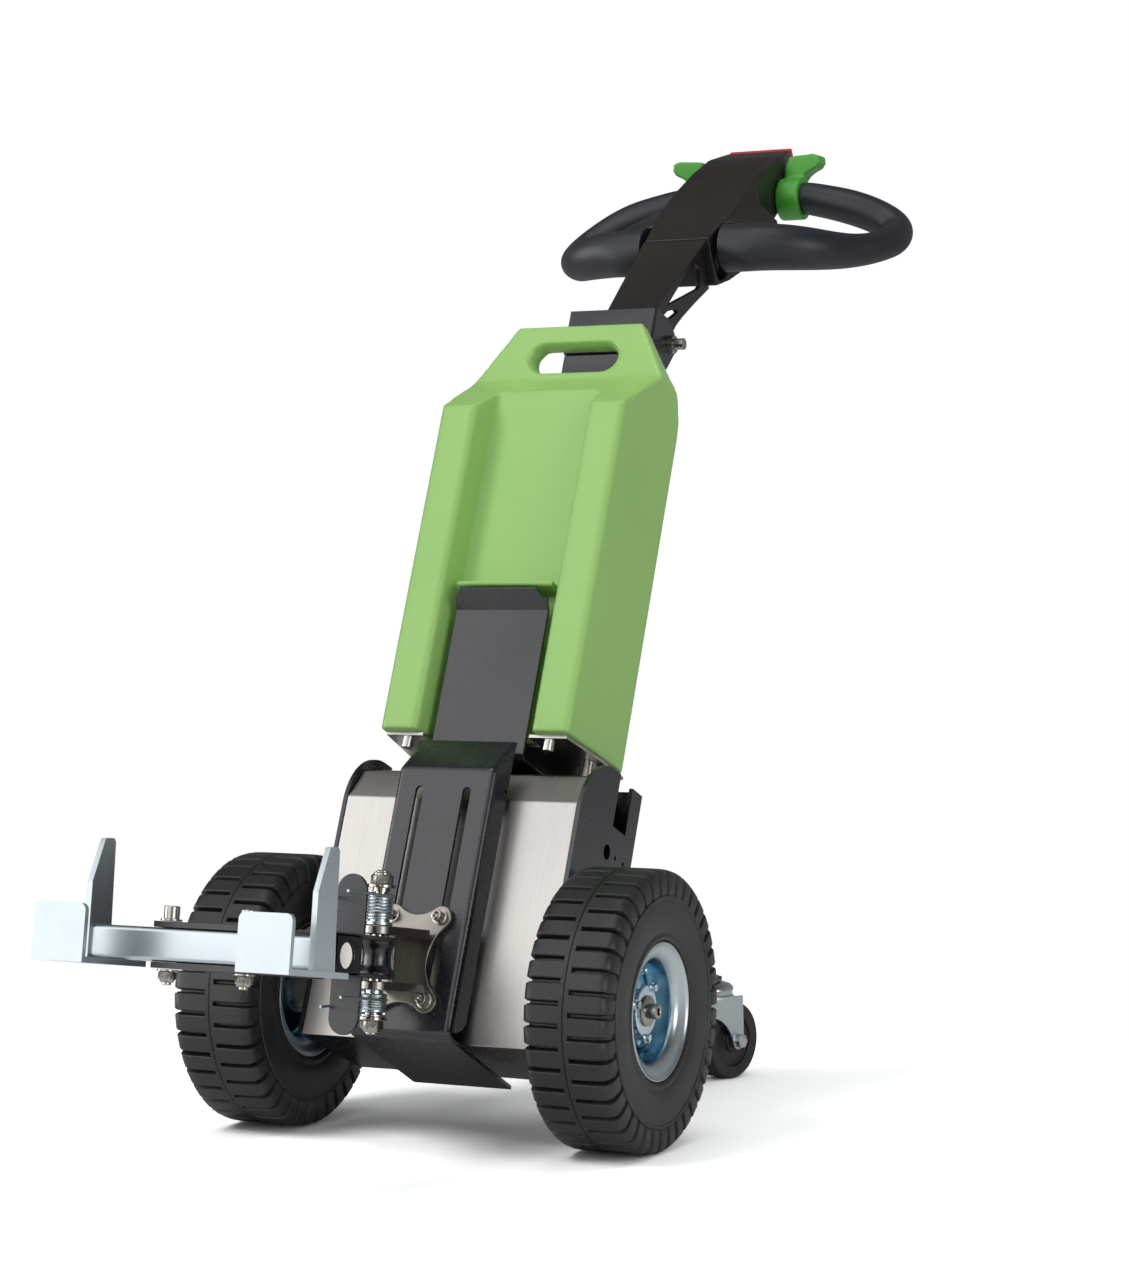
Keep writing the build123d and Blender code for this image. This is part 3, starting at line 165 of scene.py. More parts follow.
def zinc(name, low, high, roughness):
    """A plated metal with cloudy tones."""
    mat, tree, shader = new_material(name)
    at = coords(tree)
    cloud = noise(tree, at, 14.0, 5, 0.65)
    fine = noise(tree, at, 900.0, 2)
    tree.links.new(ramp(tree, cloud, low, high, (0.3, 0.7)), shader.inputs["Base Color"])
    shader.inputs["Metallic"].default_value = 1.0
    tree.links.new(spread(tree, cloud, roughness - 0.06, roughness + 0.09), shader.inputs["Roughness"])
    add_bump(tree, shader, [(fine, 0.06, 0.00003), (cloud, 0.08, 0.0006)])
    return mat


POWDER_LOW, POWDER_HIGH = (0.0048, 0.0052, 0.0085), (0.008, 0.0085, 0.0125)
POWDER = plastic("powder_black", POWDER_LOW, POWDER_HIGH, 0.25, 420.0, 0.00013, 9.0, 0.8)
SHEET = brushed("stainless_sheet", (0.47, 0.445, 0.425), (0.57, 0.55, 0.53), 0.32, (900, 25, 25))
NICKEL = brushed("nickel_plate", (0.25, 0.232, 0.21), (0.32, 0.30, 0.275), 0.30, (90, 90, 90), 0.00002)
SCREW = brushed("stainless_screws", (0.35, 0.33, 0.30), (0.42, 0.395, 0.365), 0.20, (120, 120, 120), 0.00001)
ZINC = zinc("zinc_blue", (0.500, 0.570, 0.598), (0.588, 0.634, 0.654), 0.28)
ZINC_RIM = zinc("zinc_rim", (0.343, 0.568, 0.713), (0.475, 0.686, 0.805), 0.22)
ZINC_HUB = zinc("zinc_hub", (0.528, 0.672, 0.744), (0.672, 0.768, 0.804), 0.24)
CAST = plastic("cast_grey", (0.16, 0.165, 0.17), (0.24, 0.245, 0.25), 0.55, 300.0, 0.0004)
GREEN = plastic("hull_green", (0.262, 0.480, 0.130), (0.290, 0.515, 0.150), 0.36, 1400.0, 0.00010, 5.0, 0.62)
TYRE = plastic("tyre_rubber", (0.007, 0.007, 0.008), (0.014, 0.014, 0.015), 0.46, 380.0, 0.00016, 30.0, 0.6)
ROLLER = plastic("caster_rubber", (0.010, 0.010, 0.010), (0.020, 0.020, 0.020), 0.50, 400.0, 0.0002, 20.0)
BLACK = plastic("head_plastic", (0.010, 0.008, 0.007), (0.014, 0.012, 0.010), 0.42, 1600.0, 0.00012)
GRIP = plastic("grip_rubber", (0.010, 0.0105, 0.014), (0.015, 0.016, 0.021), 0.45, 1100.0, 0.00012)
LEVER = plastic("lever_green", (0.050, 0.275, 0.026), (0.070, 0.33, 0.038), 0.33, 900.0, 0.00008)
RED = plastic("button_red", (0.42, 0.012, 0.012), (0.55, 0.02, 0.018), 0.33, 900.0, 0.00008)

SLOT_MATERIAL = {
    "powder_black": POWDER,
    "brushed_sheet": SHEET,
    "bright_screws": SCREW,
    "zinc_steel": ZINC,
    "cast_grey": CAST,
    "green_plastic": GREEN,
    "tyre_rubber": TYRE,
    "caster_rubber": ROLLER,
    "black_plastic": BLACK,
    "grip_rubber": GRIP,
    "lever_green": LEVER,
    "button_red": RED,
}
node_slot = {p["node"]: p["material_slot"] for p in frame["record"]["subparts"]}
node_body = {n: b for b, ns in frame["record"]["behaviour"]["bodies"].items() for n in ns}
for name, obj in frame["nodes"].items():
    obj.data.materials.clear()
    obj.data.materials.append(SLOT_MATERIAL[node_slot[name]])

# ---------------------------------------------------------------- mesh tools


def link_new(name, mesh):
    obj = bpy.data.objects.new(name, mesh)
    bpy.context.scene.collection.objects.link(obj)
    return obj


def mesh_from(bm, name):
    mesh = bpy.data.meshes.new(name)
    bm.to_mesh(mesh)
    bm.free()
    return mesh


def shade_smooth(mesh):
    for poly in mesh.polygons:
        poly.use_smooth = True


def add_piece(name, bm, mat, body, replaced=(), sharp=30.0):
    """A piece of its own on a body; sharp is the angle, in degrees, from which an edge stays sharp."""
    bmesh.ops.recalc_face_normals(bm, faces=bm.faces[:])
    mesh = mesh_from(bm, name)
    for m in mat if isinstance(mat, (list, tuple)) else [mat]:
        mesh.materials.append(m)
    if sharp:
        shade_smooth(mesh)
        mesh.set_sharp_from_angle(angle=radians(sharp))
    obj = link_new(name, mesh)
    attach(obj, body)
    if replaced:
        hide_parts(*replaced)
    return obj


def stand_for(obj, node):
    """Puts an object in a CAD node's place: on the same body, with the node hidden."""
    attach(obj, node_body[node])
    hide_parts(node)


def add_bevel(obj, width, segments, angle=None):
    """A bevel in mm on the edges over an angle in degrees, or on the weighted edges."""
    mod = obj.modifiers.new("bevel", "BEVEL")
    mod.width = width * MM
    mod.segments = segments
    mod.harden_normals = True
    if angle is None:
        mod.limit_method = "WEIGHT"
    else:
        mod.limit_method = "ANGLE"
        mod.angle_limit = radians(angle)
    return mod


def apply_modifiers(obj):
    deps = bpy.context.evaluated_depsgraph_get()
    mesh = bpy.data.meshes.new_from_object(obj.evaluated_get(deps))
    old = obj.data
    obj.modifiers.clear()
    obj.data = mesh
    bpy.data.meshes.remove(old)


MERGE_DISTANCE = 0.00002
FLAT_ANGLE = radians(1.2)
KEEP_SHARP = radians(50)


def plain_copy(node):
    """The CAD node's mesh as a clean bmesh with flat faces joined into one."""
    bm = bmesh.new()
    bm.from_mesh(frame["nodes"][node].data)
    bmesh.ops.remove_doubles(bm, verts=bm.verts[:], dist=MERGE_DISTANCE)
    bmesh.ops.dissolve_limit(
        bm, angle_limit=FLAT_ANGLE, use_dissolve_boundaries=False, verts=bm.verts[:], edges=bm.edges[:]
    )
    return bm


def show_bevelled(bm, node, width, segments, angle=None):
    """Shows a worked copy of a CAD node, with its edges bevelled, in the node's place."""
    mesh = mesh_from(bm, node + "_look")
    obj = link_new(node + "_look", mesh)
    mesh.materials.append(SLOT_MATERIAL[node_slot[node]])
    add_bevel(obj, width, segments, angle)
    shade_smooth(mesh)
    mesh.set_sharp_from_angle(angle=KEEP_SHARP)
    apply_modifiers(obj)
    shade_smooth(obj.data)
    stand_for(obj, node)


def dress(node, bevel):
    """Shows a CAD node with its edges rounded by a bevel in mm."""
    show_bevelled(plain_copy(node), node, bevel, 2, 28.0)


FOLD_LEAST_TURN = radians(12)
FOLD_LEAST_LENGTH = 14.0
RIM_BREAK = 0.5


def fold(node, radius, sheet):
    """Shows a CAD sheet-metal node with true bend radii; its rims only get their edge broken."""
    bm = plain_copy(node)
    weight = bm.edges.layers.float.new("bevel_weight_edge")
    wide = {}
    for face in bm.faces:
        longest = max(edge.calc_length() for edge in face.edges)
        wide[face] = face.calc_area() / longest / MM
    top = radius + sheet
    for edge in bm.edges:
        if len(edge.link_faces) != 2:
            continue
        turn = edge.calc_face_angle(0.0)
        if turn < FOLD_LEAST_TURN:
            continue
        narrow = min(wide[face] for face in edge.link_faces)
        if narrow > sheet * 1.6 and edge.calc_length() / MM > FOLD_LEAST_LENGTH:
            outer = edge.calc_face_angle_signed(0.0) > 0
            reach = (radius + (sheet if outer else 0.0)) * sin(turn / 2) / cos(turn / 2)
            reach = min(reach, top, narrow * 0.4)
        else:
            reach = RIM_BREAK
        edge[weight] = reach / top
    show_bevelled(bm, node, top, 5)


def soften(node, voxel, rounds):
    """Moulds a CAD node: an even skin over its solid, smoothed so that every edge is soft."""
    obj = link_new(node + "_look", frame["nodes"][node].data.copy())
    weld = obj.modifiers.new("weld", "WELD")
    weld.merge_threshold = MERGE_DISTANCE
    skin = obj.modifiers.new("skin", "REMESH")
    skin.mode = "VOXEL"
    skin.voxel_size = voxel * MM
    skin.use_smooth_shade = True
    calm = obj.modifiers.new("calm", "SMOOTH")
    calm.factor = 0.5
    calm.iterations = rounds
    apply_modifiers(obj)
    obj.data.materials.clear()
    obj.data.materials.append(SLOT_MATERIAL[node_slot[node]])
    for poly in obj.data.polygons:
        poly.use_smooth = True
        poly.material_index = 0
    stand_for(obj, node)


def round_frame(axis, start=None):
    """Unit axis with the two directions across it; start turns them about the axis."""
    axis = Vector(axis).normalized()
    side_dir = Vector(start) if start else axis.orthogonal()
    side_dir = (side_dir - axis * side_dir.dot(axis)).normalized()
    return axis, side_dir, axis.cross(side_dir)


def join_rings(bm, rings):
    """Skins rings of equal length, one after another, and closes both ends."""
    steps = len(rings[0])
    for low, high in zip(rings[:-1], rings[1:]):
        for k in range(steps):
            j = (k + 1) % steps
            bm.faces.new((low[k], low[j], high[j], high[k]))
    bm.faces.new(rings[0][::-1])
    bm.faces.new(rings[-1])


def turned(bm, centre, axis, profile, steps=48):
    """Adds a turned shape: profile is a list of (along, radius) in mm on the axis through centre."""
    axis, side_dir, third = round_frame(axis)
    rings = []
    for along, radius in profile:
        ring = []
        for k in range(steps):
            a = 2 * pi * k / steps
            spot = centre + axis * along * MM + (side_dir * cos(a) + third * sin(a)) * radius * MM
            ring.append(bm.verts.new(spot))
        rings.append(ring)
    join_rings(bm, rings)


HEX_STEPS = 24


def hex_prism(bm, centre, axis, low, high, across, start=None, chamfer=1.0):
    """A hexagon head or nut with chamfered corners; across is its flat-to-flat size."""
    corner = across / 2 / cos(pi / 6)
    axis, side_dir, third = round_frame(axis, start)
    rings = []
    for along, cap in ((low, True), (low + chamfer, False), (high - chamfer, False), (high, True)):
        ring = []
        for k in range(HEX_STEPS):
            a = 2 * pi * k / HEX_STEPS
            flat = (across / 2) / cos(((a + pi / 6) % (pi / 3)) - pi / 6)
            radius = min(flat, corner)
            if cap:
                radius = min(radius, across / 2 * 0.99)
            spot = centre + axis * along * MM + (side_dir * cos(a) + third * sin(a)) * radius * MM
            ring.append(bm.verts.new(spot))
        rings.append(ring)
    join_rings(bm, rings)


def cap_screw(bm, centre, axis, low, height, radius, socket=None):
    """A socket-head screw: straight rim, rounded edge and a socket."""
    socket = socket or radius * 0.5
    depth = height * 0.55
    top = low + height
    head = [
        (low, radius * 0.96),
        (low + 0.3, radius),
        (top - 0.7, radius),
        (top - 0.2, radius - 0.35),
        (top, radius - 0.9),
        (top, socket + 0.5),
        (top - 0.5, socket),
        (top - depth, socket),
        (top - depth - 0.4, socket * 0.3),
    ]
    turned(bm, centre, axis, head, 32)


COIL_STEPS = 24


def coil(bm, centre, axis, low, high, radius, wire, turns):
    """A coil spring of round wire."""
    axis, side_dir, third = round_frame(axis)
    path = []
    count = int(turns * COIL_STEPS)
    for k in range(count + 1):
        a = 2 * pi * k / COIL_STEPS
        along = low + (high - low) * (k / count)
        path.append(centre + axis * along * MM + (side_dir * cos(a) + third * sin(a)) * radius * MM)
    tube(bm, path, wire, 8)


def tube(bm, path, radius, steps):
    """A round rod along points in metres; radius in mm."""
    rings = []
    normal = None
    for i, spot in enumerate(path):
        before = path[max(i - 1, 0)]
        after = path[min(i + 1, len(path) - 1)]
        run = (after - before).normalized()
        if normal is None:
            normal = run.orthogonal().normalized()
        normal = (normal - run * normal.dot(run)).normalized()
        third = run.cross(normal)
        ring = []
        for k in range(steps):
            a = 2 * pi * k / steps
            ring.append(bm.verts.new(spot + (normal * cos(a) + third * sin(a)) * radius * MM))
        rings.append(ring)
    join_rings(bm, rings)


def plate_from(bm, outline, place, low, high, hole=None):
    """A flat plate: outline is a list of (a, b); place(a, b, c) gives the point at depth c."""
    rings = []
    for depth in (low, high):
        rings.append([bm.verts.new(place(a, b, depth)) for a, b in outline])
    n = len(outline)
    for k in range(n):
        j = (k + 1) % n
        bm.faces.new((rings[0][k], rings[0][j], rings[1][j], rings[1][k]))
    if hole is None:
        bm.faces.new(rings[0][::-1])
        bm.faces.new(rings[1])
        return
    inner = []
    for depth in (low, high):
        inner.append([bm.verts.new(place(a, b, depth)) for a, b in hole])
    for k in range(n):
        j = (k + 1) % n
        bm.faces.new((inner[0][k], inner[1][k], inner[1][j], inner[0][j]))
        bm.faces.new((rings[0][k], inner[0][k], inner[0][j], rings[0][j]))
        bm.faces.new((rings[1][k], rings[1][j], inner[1][j], inner[1][k]))


def arc(a, b, r, first, last, steps=10):
    """Points of an arc round (a, b); angles in degrees."""
    turns = [radians(first + (last - first) * k / steps) for k in range(steps + 1)]
    return [(a + r * cos(turn), b + r * sin(turn)) for turn in turns]


def finish_edges(obj, width):
    """Breaks a made piece's edges by a small bevel in mm."""
    add_bevel(obj, width, 3, 40.0)
    apply_modifiers(obj)
    shade_smooth(obj.data)


# ---------------------------------------------------------------- wheels

LUGS = 40
LUG_TOP = 130.0
LUG_ROOT = 124.5
LUG_SPAN = (3.2, 42.0, 7.9, 7.8)  # from and to across the tread, and half its length at both


def lug(bm, mid_x, out, angle, x_in, x_out, half_in, half_out):
    """One tread block: runs from near the middle to the shoulder and down the side a little."""
    stations = (
        (x_in, LUG_TOP, half_in),
        (x_in + 4, LUG_TOP, half_in),
        ((x_in + x_out) / 2, LUG_TOP, (half_in + half_out) / 2),
        (x_out - 10, LUG_TOP - 0.2, half_out),
        (x_out - 5.2, LUG_TOP - 1.5, half_out - 0.2),
        (x_out - 2.1, LUG_TOP - 4.6, half_out - 0.5),
        (x_out - 0.8, LUG_TOP - 10.0, half_out - 0.8),
        (x_out - 0.4, LUG_TOP - 18.0, half_out - 1.1),
        (x_out - 0.9, LUG_TOP - 23.0, half_out - 1.4),
    )
    tops, feet = [], []
    for x, r, half in stations:
        row_top, row_foot = [], []
        spread_top = half / LUG_TOP
        spread_foot = (half + 1.5) / LUG_TOP
        r_foot = min(r - 1.0, LUG_ROOT) if x < x_out - 5 else r - 4.5
        x_foot = x if x < x_out - 5 else x - 3.2
        for t in (-1, -0.9, 0.9, 1):
            drop = 0.5 if abs(t) == 1 else 0.0
            a = angle + spread_top * t
            row_top.append(spin(mid_x, out, x, r - drop, a))
        for t in (-1, 1):
            a = angle + spread_foot * t
            row_foot.append(spin(mid_x, out, x_foot, r_foot, a))
        tops.append([bm.verts.new(p) for p in row_top])
        feet.append([bm.verts.new(p) for p in row_foot])
    for i in range(len(tops) - 1):
        for k in range(3):
            bm.faces.new((tops[i][k], tops[i][k + 1], tops[i + 1][k + 1], tops[i + 1][k]))
        bm.faces.new((feet[i][0], tops[i][0], tops[i + 1][0], feet[i + 1][0]))
        bm.faces.new((tops[i][3], feet[i][1], feet[i + 1][1], tops[i + 1][3]))
    for i in (0, -1):
        bm.faces.new((feet[i][0], tops[i][0], tops[i][1], tops[i][2], tops[i][3], feet[i][1]))


def spin(mid_x, out, x, r, a):
    """A point of a wheel: x out from its middle, r from the axle, at the angle a from the top."""
    return Vector((mid_x + out * x, AY + r * sin(a), AZ + r * cos(a))) * MM


def carcass(bm, mid_x, out, profile, steps=160):
    """Turns a closed (x, r) profile round the axle; gives the faces, one band for each step of it."""
    rings = []
    for x, r in profile:
        rings.append([bm.verts.new(spin(mid_x, out, x, r, 2 * pi * k / steps)) for k in range(steps)])
    bands = []
    for low, high in zip(rings, rings[1:] + rings[:1]):
        band = []
        for k in range(steps):
            j = (k + 1) % steps
            band.append(bm.faces.new((low[k], low[j], high[j], high[k])))
        bands.append(band)
    return bands


SIDEWALL = [
    (31.7, 51.4),
    (34.2, 62.0),
    (34.6, 63.6),
    (36.2, 64.6),
    (38.4, 65.4),
    (39.6, 68.0),
    (39.0, 70.6),
    (38.6, 72.0),
    (39.6, 75.0),
    (40.6, 82.0),
    (41.2, 90.0),
    (41.3, 98.0),
    (41.1, 102.6),
    (41.9, 103.4),
    (41.9, 105.4),
    (41.2, 106.2),
    (39.4, 106.6),
    (39.6, 112.0),
    (37.8, 118.0),
    (34.5, 122.6),
    (28.0, 124.4),
    (4.9, 124.8),
    (4.5, 129.4),
    (4.1, 129.8),
    (0.8, 129.8),
    (0.45, 129.3),
    (0.2, 130.0),
    (0.0, 130.0),
]

RIM_LIP = [
    (32.6, 51.6),
    (34.2, 57.0),
    (34.8, 62.2),
    (35.6, 63.6),
    (36.8, 64.1),
    (37.8, 63.5),
    (38.1, 62.4),
    (37.4, 61.2),
    (36.2, 60.4),
    (35.2, 57.6),
    (34.2, 54.2),
    (32.6, 51.2),
    (30.4, 48.8),
    (27.6, 47.4),
]
RIM_INSIDE = [
    (25.0, 47.0),
    (-2.0, 46.6),
    (-3.2, 45.4),
    (-3.0, 44.4),
    (3.2, 44.3),
    (4.6, 43.6),
    (5.4, 42.2),
    (5.5, 34.0),
    (5.5, 18.0),
    (-4.0, 18.0),
    (-4.2, 42.0),
    (-5.4, 45.2),
    (-7.6, 46.8),
    (-25.0, 47.0),
]
HUB_PROFILE = [
    (-23.0, 17.0),
    (-22.6, 22.0),
    (-20.0, 22.4),
    (-19.6, 18.0),
    (-4.5, 18.0),
    (-4.5, 20.0),
    (5.4, 20.0),
    (5.6, 30.0),
    (7.4, 31.0),
    (8.6, 30.4),
    (9.0, 28.8),
    (9.2, 20.4),
    (12.6, 19.4),
    (13.0, 20.2),
    (14.4, 20.2),
    (14.8, 18.6),
    (20.2, 18.4),
    (20.6, 22.4),
    (21.2, 23.2),
    (22.8, 23.2),
    (23.5, 22.2),
    (23.5, 13.0),
]



def spoke(turn, out):
    """Direction across the axle, turned from the top by an angle in degrees."""
    a = radians(turn) * out
    return Vector((0, sin(a), cos(a)))


for hand, mid_x, out in (("left", -TRACK_HALF, -1), ("right", TRACK_HALF, 1)):
    wheel = "wheel_" + hand
    bm = bmesh.new()
    carcass(bm, mid_x, out, SIDEWALL + [(-x, r) for x, r in SIDEWALL[-2::-1]])
    pitch = 2 * pi / LUGS
    for k in range(LUGS):
        lug(bm, mid_x, out, k * pitch, *LUG_SPAN)
        lug(bm, mid_x, -out, (k + 0.5) * pitch, *LUG_SPAN)
    add_piece("tyre_" + hand + "_look", bm, TYRE, wheel, ("tyre_" + hand,), 32.0)

    # rim: bright rolled lip and cone, deep barrel and a round plate inside
    bm = bmesh.new()
    shell = RIM_LIP + RIM_INSIDE + [(-x, r) for x, r in RIM_LIP[::-1]] + [(-29.0, 50.8), (29.0, 50.8)]
    bands = carcass(bm, mid_x, out, shell, 112)
    for band in bands[len(RIM_LIP) - 1 : len(RIM_LIP) + len(RIM_INSIDE)]:
        for face in band:
            face.material_index = 1
    add_piece("rim_" + hand + "_look", bm, (ZINC, ZINC_RIM), wheel, ("rim_" + hand,), 40.0)

    # hub: barrel with two collars, eared flange, bolts, and a thick washer under the middle screw
    bm = bmesh.new()
    hub_at = Vector((mid_x, AY, AZ)) * MM
    axis = Vector((out, 0, 0))
    turned(bm, hub_at, axis, HUB_PROFILE, 64)
    for turn, reach in ((35, 24.0), (180, 24.5), (290, 24.0)):
        way = spoke(turn, out)
        spot = hub_at + way * reach * MM
        turned(bm, spot, axis, [(20.6, 4.6), (21.0, 5.2), (23.0, 5.2), (23.4, 4.8)], 28)
        hex_prism(bm, spot, axis, 23.4, 27.0, 6.6, way, 0.6)
        turned(bm, spot, axis, [(12.0, 3.0), (20.6, 3.0)], 16)
    for turn in (24, 144, 264):
        way = spoke(turn, out)
        spot = hub_at + way * 38.5 * MM
        turned(bm, spot, axis, [(5.6, 6.0), (6.0, 6.4), (7.2, 6.4), (7.5, 6.0)], 28)
        hex_prism(bm, spot, axis, 7.5, 12.6, 9.0, way, 0.8)
        turned(bm, spot, axis, [(12.2, 2.9), (16.4, 2.9), (17.0, 2.3)], 18)
    add_piece("hub_" + hand + "_look", bm, ZINC_HUB, wheel, ("hub_" + hand,), 35.0)
    bm = bmesh.new()
    turned(bm, hub_at, axis, [(23.6, 13.6), (23.9, 14.2), (25.6, 14.2), (26.0, 13.6)], 48)
    cap_screw(bm, hub_at, axis, 26.0, 9.6, 7.0, 3.4)
    add_piece("hub_screw_" + hand, bm, SCREW, wheel, (), 35.0)

# ---------------------------------------------------------------- hitch

SCREW_X, SCREW_LOW, SCREW_HIGH = 25, 95, 175
UP = Vector((0, sin(HITCH_TILT), cos(HITCH_TILT)))
PIN_AT = hitch_at(0, 0, 0)

# pin with a washer and a nut at each end
bm = bmesh.new()
turned(bm, PIN_AT, UP, [(-74, 5.0), (-73, 6.0), (73, 6.0), (74, 5.0)], 32)
for low, high in ((58, 61), (-61, -58)):
    turned(bm, PIN_AT, UP, [(low, 12.6), (low + 0.4, 13), (high - 0.4, 13), (high, 12.6)], 40)
for sign in (1, -1):
    hex_prism(bm, PIN_AT, UP * sign, 61, 70, 18.0, (1, 0, 0), 1.2)
    turned(bm, PIN_AT, UP * sign, [(69.6, 8.4), (71.2, 8.2), (72.2, 7.2), (72.2, 6.2)], 32)
    turned(bm, PIN_AT, UP * sign, [(54.6, 8.0), (58, 8.0)], 32)
add_piece("hitch_pin_look", bm, SCREW, "hitch_carriage", ("hitch_pin",), 32.0)

# springs with their seats, and the legs that reach along the arm
for name, low, high in (("upper", 31.6, 53.4), ("lower", -54.4, -37.0)):
    bm = bmesh.new()
    coil(bm, PIN_AT, UP, low, high, 10.5, 1.45, 7.5)
    if name == "upper":
        seat = [(24.3, 12.0), (24.7, 12.4), (26.9, 12.4), (27.3, 12.0), (27.4, 9.6), (30.0, 9.6)]
        turned(bm, PIN_AT, UP, seat, 40)
        coil(bm, PIN_AT, UP, 28.8, 31.6, 10.9, 1.3, 1.0)
    else:
        turned(bm, PIN_AT, UP, [(-57.7, 11.2), (-57.3, 11.6), (-56.3, 11.6), (-56.0, 11.2)], 40)
        turned(bm, PIN_AT, UP, [(-37.0, 8.4), (-34.3, 8.4)], 32)
    add_piece("spring_" + name + "_look", bm, ZINC, "hitch_carriage", ("spring_" + name,), 40.0)

bm = bmesh.new()
for side, w_from, w_to, u_to in (
    (1, 50.5, 50.5, 90.0),
    (-1, 46.0, 46.0, 88.0),
    (1, -42.5, -42.5, 90.0),
    (-1, -50.0, -52.0, 66.0),
):
    line = ((13.6, 1, w_from), (13.6 * 1.05, 14, w_from), (16.6, 44, w_from), (16.6, u_to, w_to))
    tube(bm, [hitch_at(side * x, u, w) for x, u, w in line], 1.35, 10)
add_piece("spring_legs", bm, ZINC, "hitch_arm", (), 40.0)

# screws that hold the bracket: a washer behind the plate, a shank through the slot, two more in front
FORWARD = Vector((0, -cos(COLUMN_TILT), sin(COLUMN_TILT)))
bm = bmesh.new()
for x, s in ((-1, SCREW_LOW), (1, SCREW_LOW), (-1, SCREW_HIGH), (1, SCREW_HIGH)):
    spot = body_at(x * SCREW_X, 0, s)
    turned(bm, spot, FORWARD, [(119.8, 6.9), (122.2, 6.9), (122.4, 3.9), (136.6, 3.9)], 32)
    turned(bm, spot, FORWARD, [(136.6, 7.0), (136.8, 7.4), (138.0, 7.4), (138.2, 7.0)], 32)
    turned(bm, spot, FORWARD, [(138.3, 6.0), (139.9, 6.0)], 32)
    cap_screw(bm, spot, FORWARD, 140.0, 6.2, 5.2)
add_piece("bracket_screws_look", bm, SCREW, "hitch_carriage", ("bracket_screws",), 32.0)

# bolts through the two clamp plates, with washers and nuts
bm = bmesh.new()
for x in (-37, 37):
    spot = hitch_at(x, 286.5, 0)
    turned(bm, spot, UP, [(10.9, 8.6), (11.1, 9.0), (12.4, 9.0), (12.6, 8.6)], 32)
    cap_screw(bm, spot, UP, 12.6, 10.8, 6.6)
    turned(bm, spot, -UP, [(28.9, 8.6), (29.1, 9.0), (30.3, 9.0), (30.5, 8.6)], 32)
    hex_prism(bm, spot, -UP, 30.5, 37.5, 13.0, (1, 0, 0), 1.0)
    turned(bm, spot, -UP, [(37.3, 6.1), (39.0, 5.9), (39.6, 4.6), (39.6, 3.9), (41.4, 3.9), (41.8, 3.4)], 24)
add_piece("clamp_bolts_look", bm, SCREW, "hitch_arm", ("clamp_bolts",), 32.0)


# where the arm's and bracket's plates lie; the last value is the depth
def upright(u, w, x):
    return hitch_at(x, u, w)


def facing(x, w, u):
    return hitch_at(x, u, w)


def flat(x, u, w):
    return hitch_at(x, u, w)


# arm: waisted barrel round the pin, a channel with an eye in its web, a tail, and ears for the springs
BARREL = [
    (-24, 15.6),
    (-23.2, 17.2),
    (-21, 17.8),
    (-18.4, 17.6),
    (-16.2, 16.2),
    (-14.2, 14.2),
    (-11.5, 13.3),
    (-5, 13.0),
    (1.5, 13.3),
    (4.2, 14.2),
    (6.2, 16.2),
    (8.4, 17.6),
    (11, 17.8),
    (13.2, 17.2),
    (14, 15.6),
]
EYE_U, EYE_R, EYE_STEPS = 88, 12.5, 32
WEB_HALF_U, WEB_HALF_W, WEB_MID_W = 26.0, 18.6, -5
bm = bmesh.new()
turned(bm, PIN_AT, UP, BARREL, 56)
add_piece("arm_barrel", bm, POWDER, "hitch_arm", (), 60.0)
bm = bmesh.new()
eye = arc(EYE_U, -6, EYE_R, 45, 405, EYE_STEPS)[:-1]
eye = [(u, w * 0.92 - 0.5) for u, w in eye]
web = []
for k in range(EYE_STEPS):
    a = radians(45 + 360 * k / EYE_STEPS)
    reach_u, reach_w = cos(a), sin(a)
    scale = min(WEB_HALF_U / max(abs(reach_u), 1e-6), WEB_HALF_W / max(abs(reach_w), 1e-6))
    web.append((EYE_U + reach_u * scale, WEB_MID_W + reach_w * scale))
plate_from(bm, web, upright, 16.6, 19.8, eye)
for low, high in ((9.8, 14.0), (-24.0, -19.8)):
    plate_from(bm, [(-16, 4), (16.5, 4), (17.5, 40), (19.8, 56), (19.8, 116), (-17, 116)], flat, low, high)
plate_from(bm, [(-14, 112), (14, 112), (14, 241), (-14, 241)], flat, -23.0, 5.0)
plate_from(bm, [(-14, 106), (19.8, 106), (19.8, 116), (-14, 116)], flat, -23.0, 13.0)
channel = add_piece("arm_channel", bm, POWDER, "hitch_arm", ("hitch_arm",), 40.0)
finish_edges(channel, 1.2)
bm = bmesh.new()
for foot, tip, turn in ((13.0, 67.5, 1), (-23.0, -75.5, -1)):
    ear = [(-15, foot), (15, foot)] + arc(0, tip - 15 * turn, 15, 0, 180 * turn, 20)
    plate_from(bm, ear, facing, 50.0, 54.0)
ears = add_piece("arm_ears", bm, POWDER, "hitch_arm", (), 40.0)
finish_edges(ears, 0.9)

# bracket: back plate with four ears and hollow sides, two arms for the pin and a web between them
EAR = 11.0
MID_S = (SCREW_LOW + SCREW_HIGH) / 2
HALF_S = (SCREW_HIGH - SCREW_LOW) / 2
SIDE_R, END_R = 44.6, 28.0
side_x = SCREW_X + sqrt((SIDE_R + EAR) ** 2 - HALF_S**2)
end_s = sqrt((END_R + EAR) ** 2 - SCREW_X**2)
side_turn = atan2(HALF_S, side_x - SCREW_X) * 180 / pi
end_turn = atan2(end_s, SCREW_X) * 180 / pi
bm = bmesh.new()
outline = []
outline += arc(SCREW_X, SCREW_HIGH, EAR, -side_turn, 180 - end_turn, 16)
outline += arc(0, SCREW_HIGH + end_s, END_R, -end_turn, -180 + end_turn, 14)[1:-1]
outline += arc(-SCREW_X, SCREW_HIGH, EAR, end_turn, 180 + side_turn, 16)
outline += arc(-side_x, MID_S, SIDE_R, side_turn, -side_turn, 14)[1:-1]
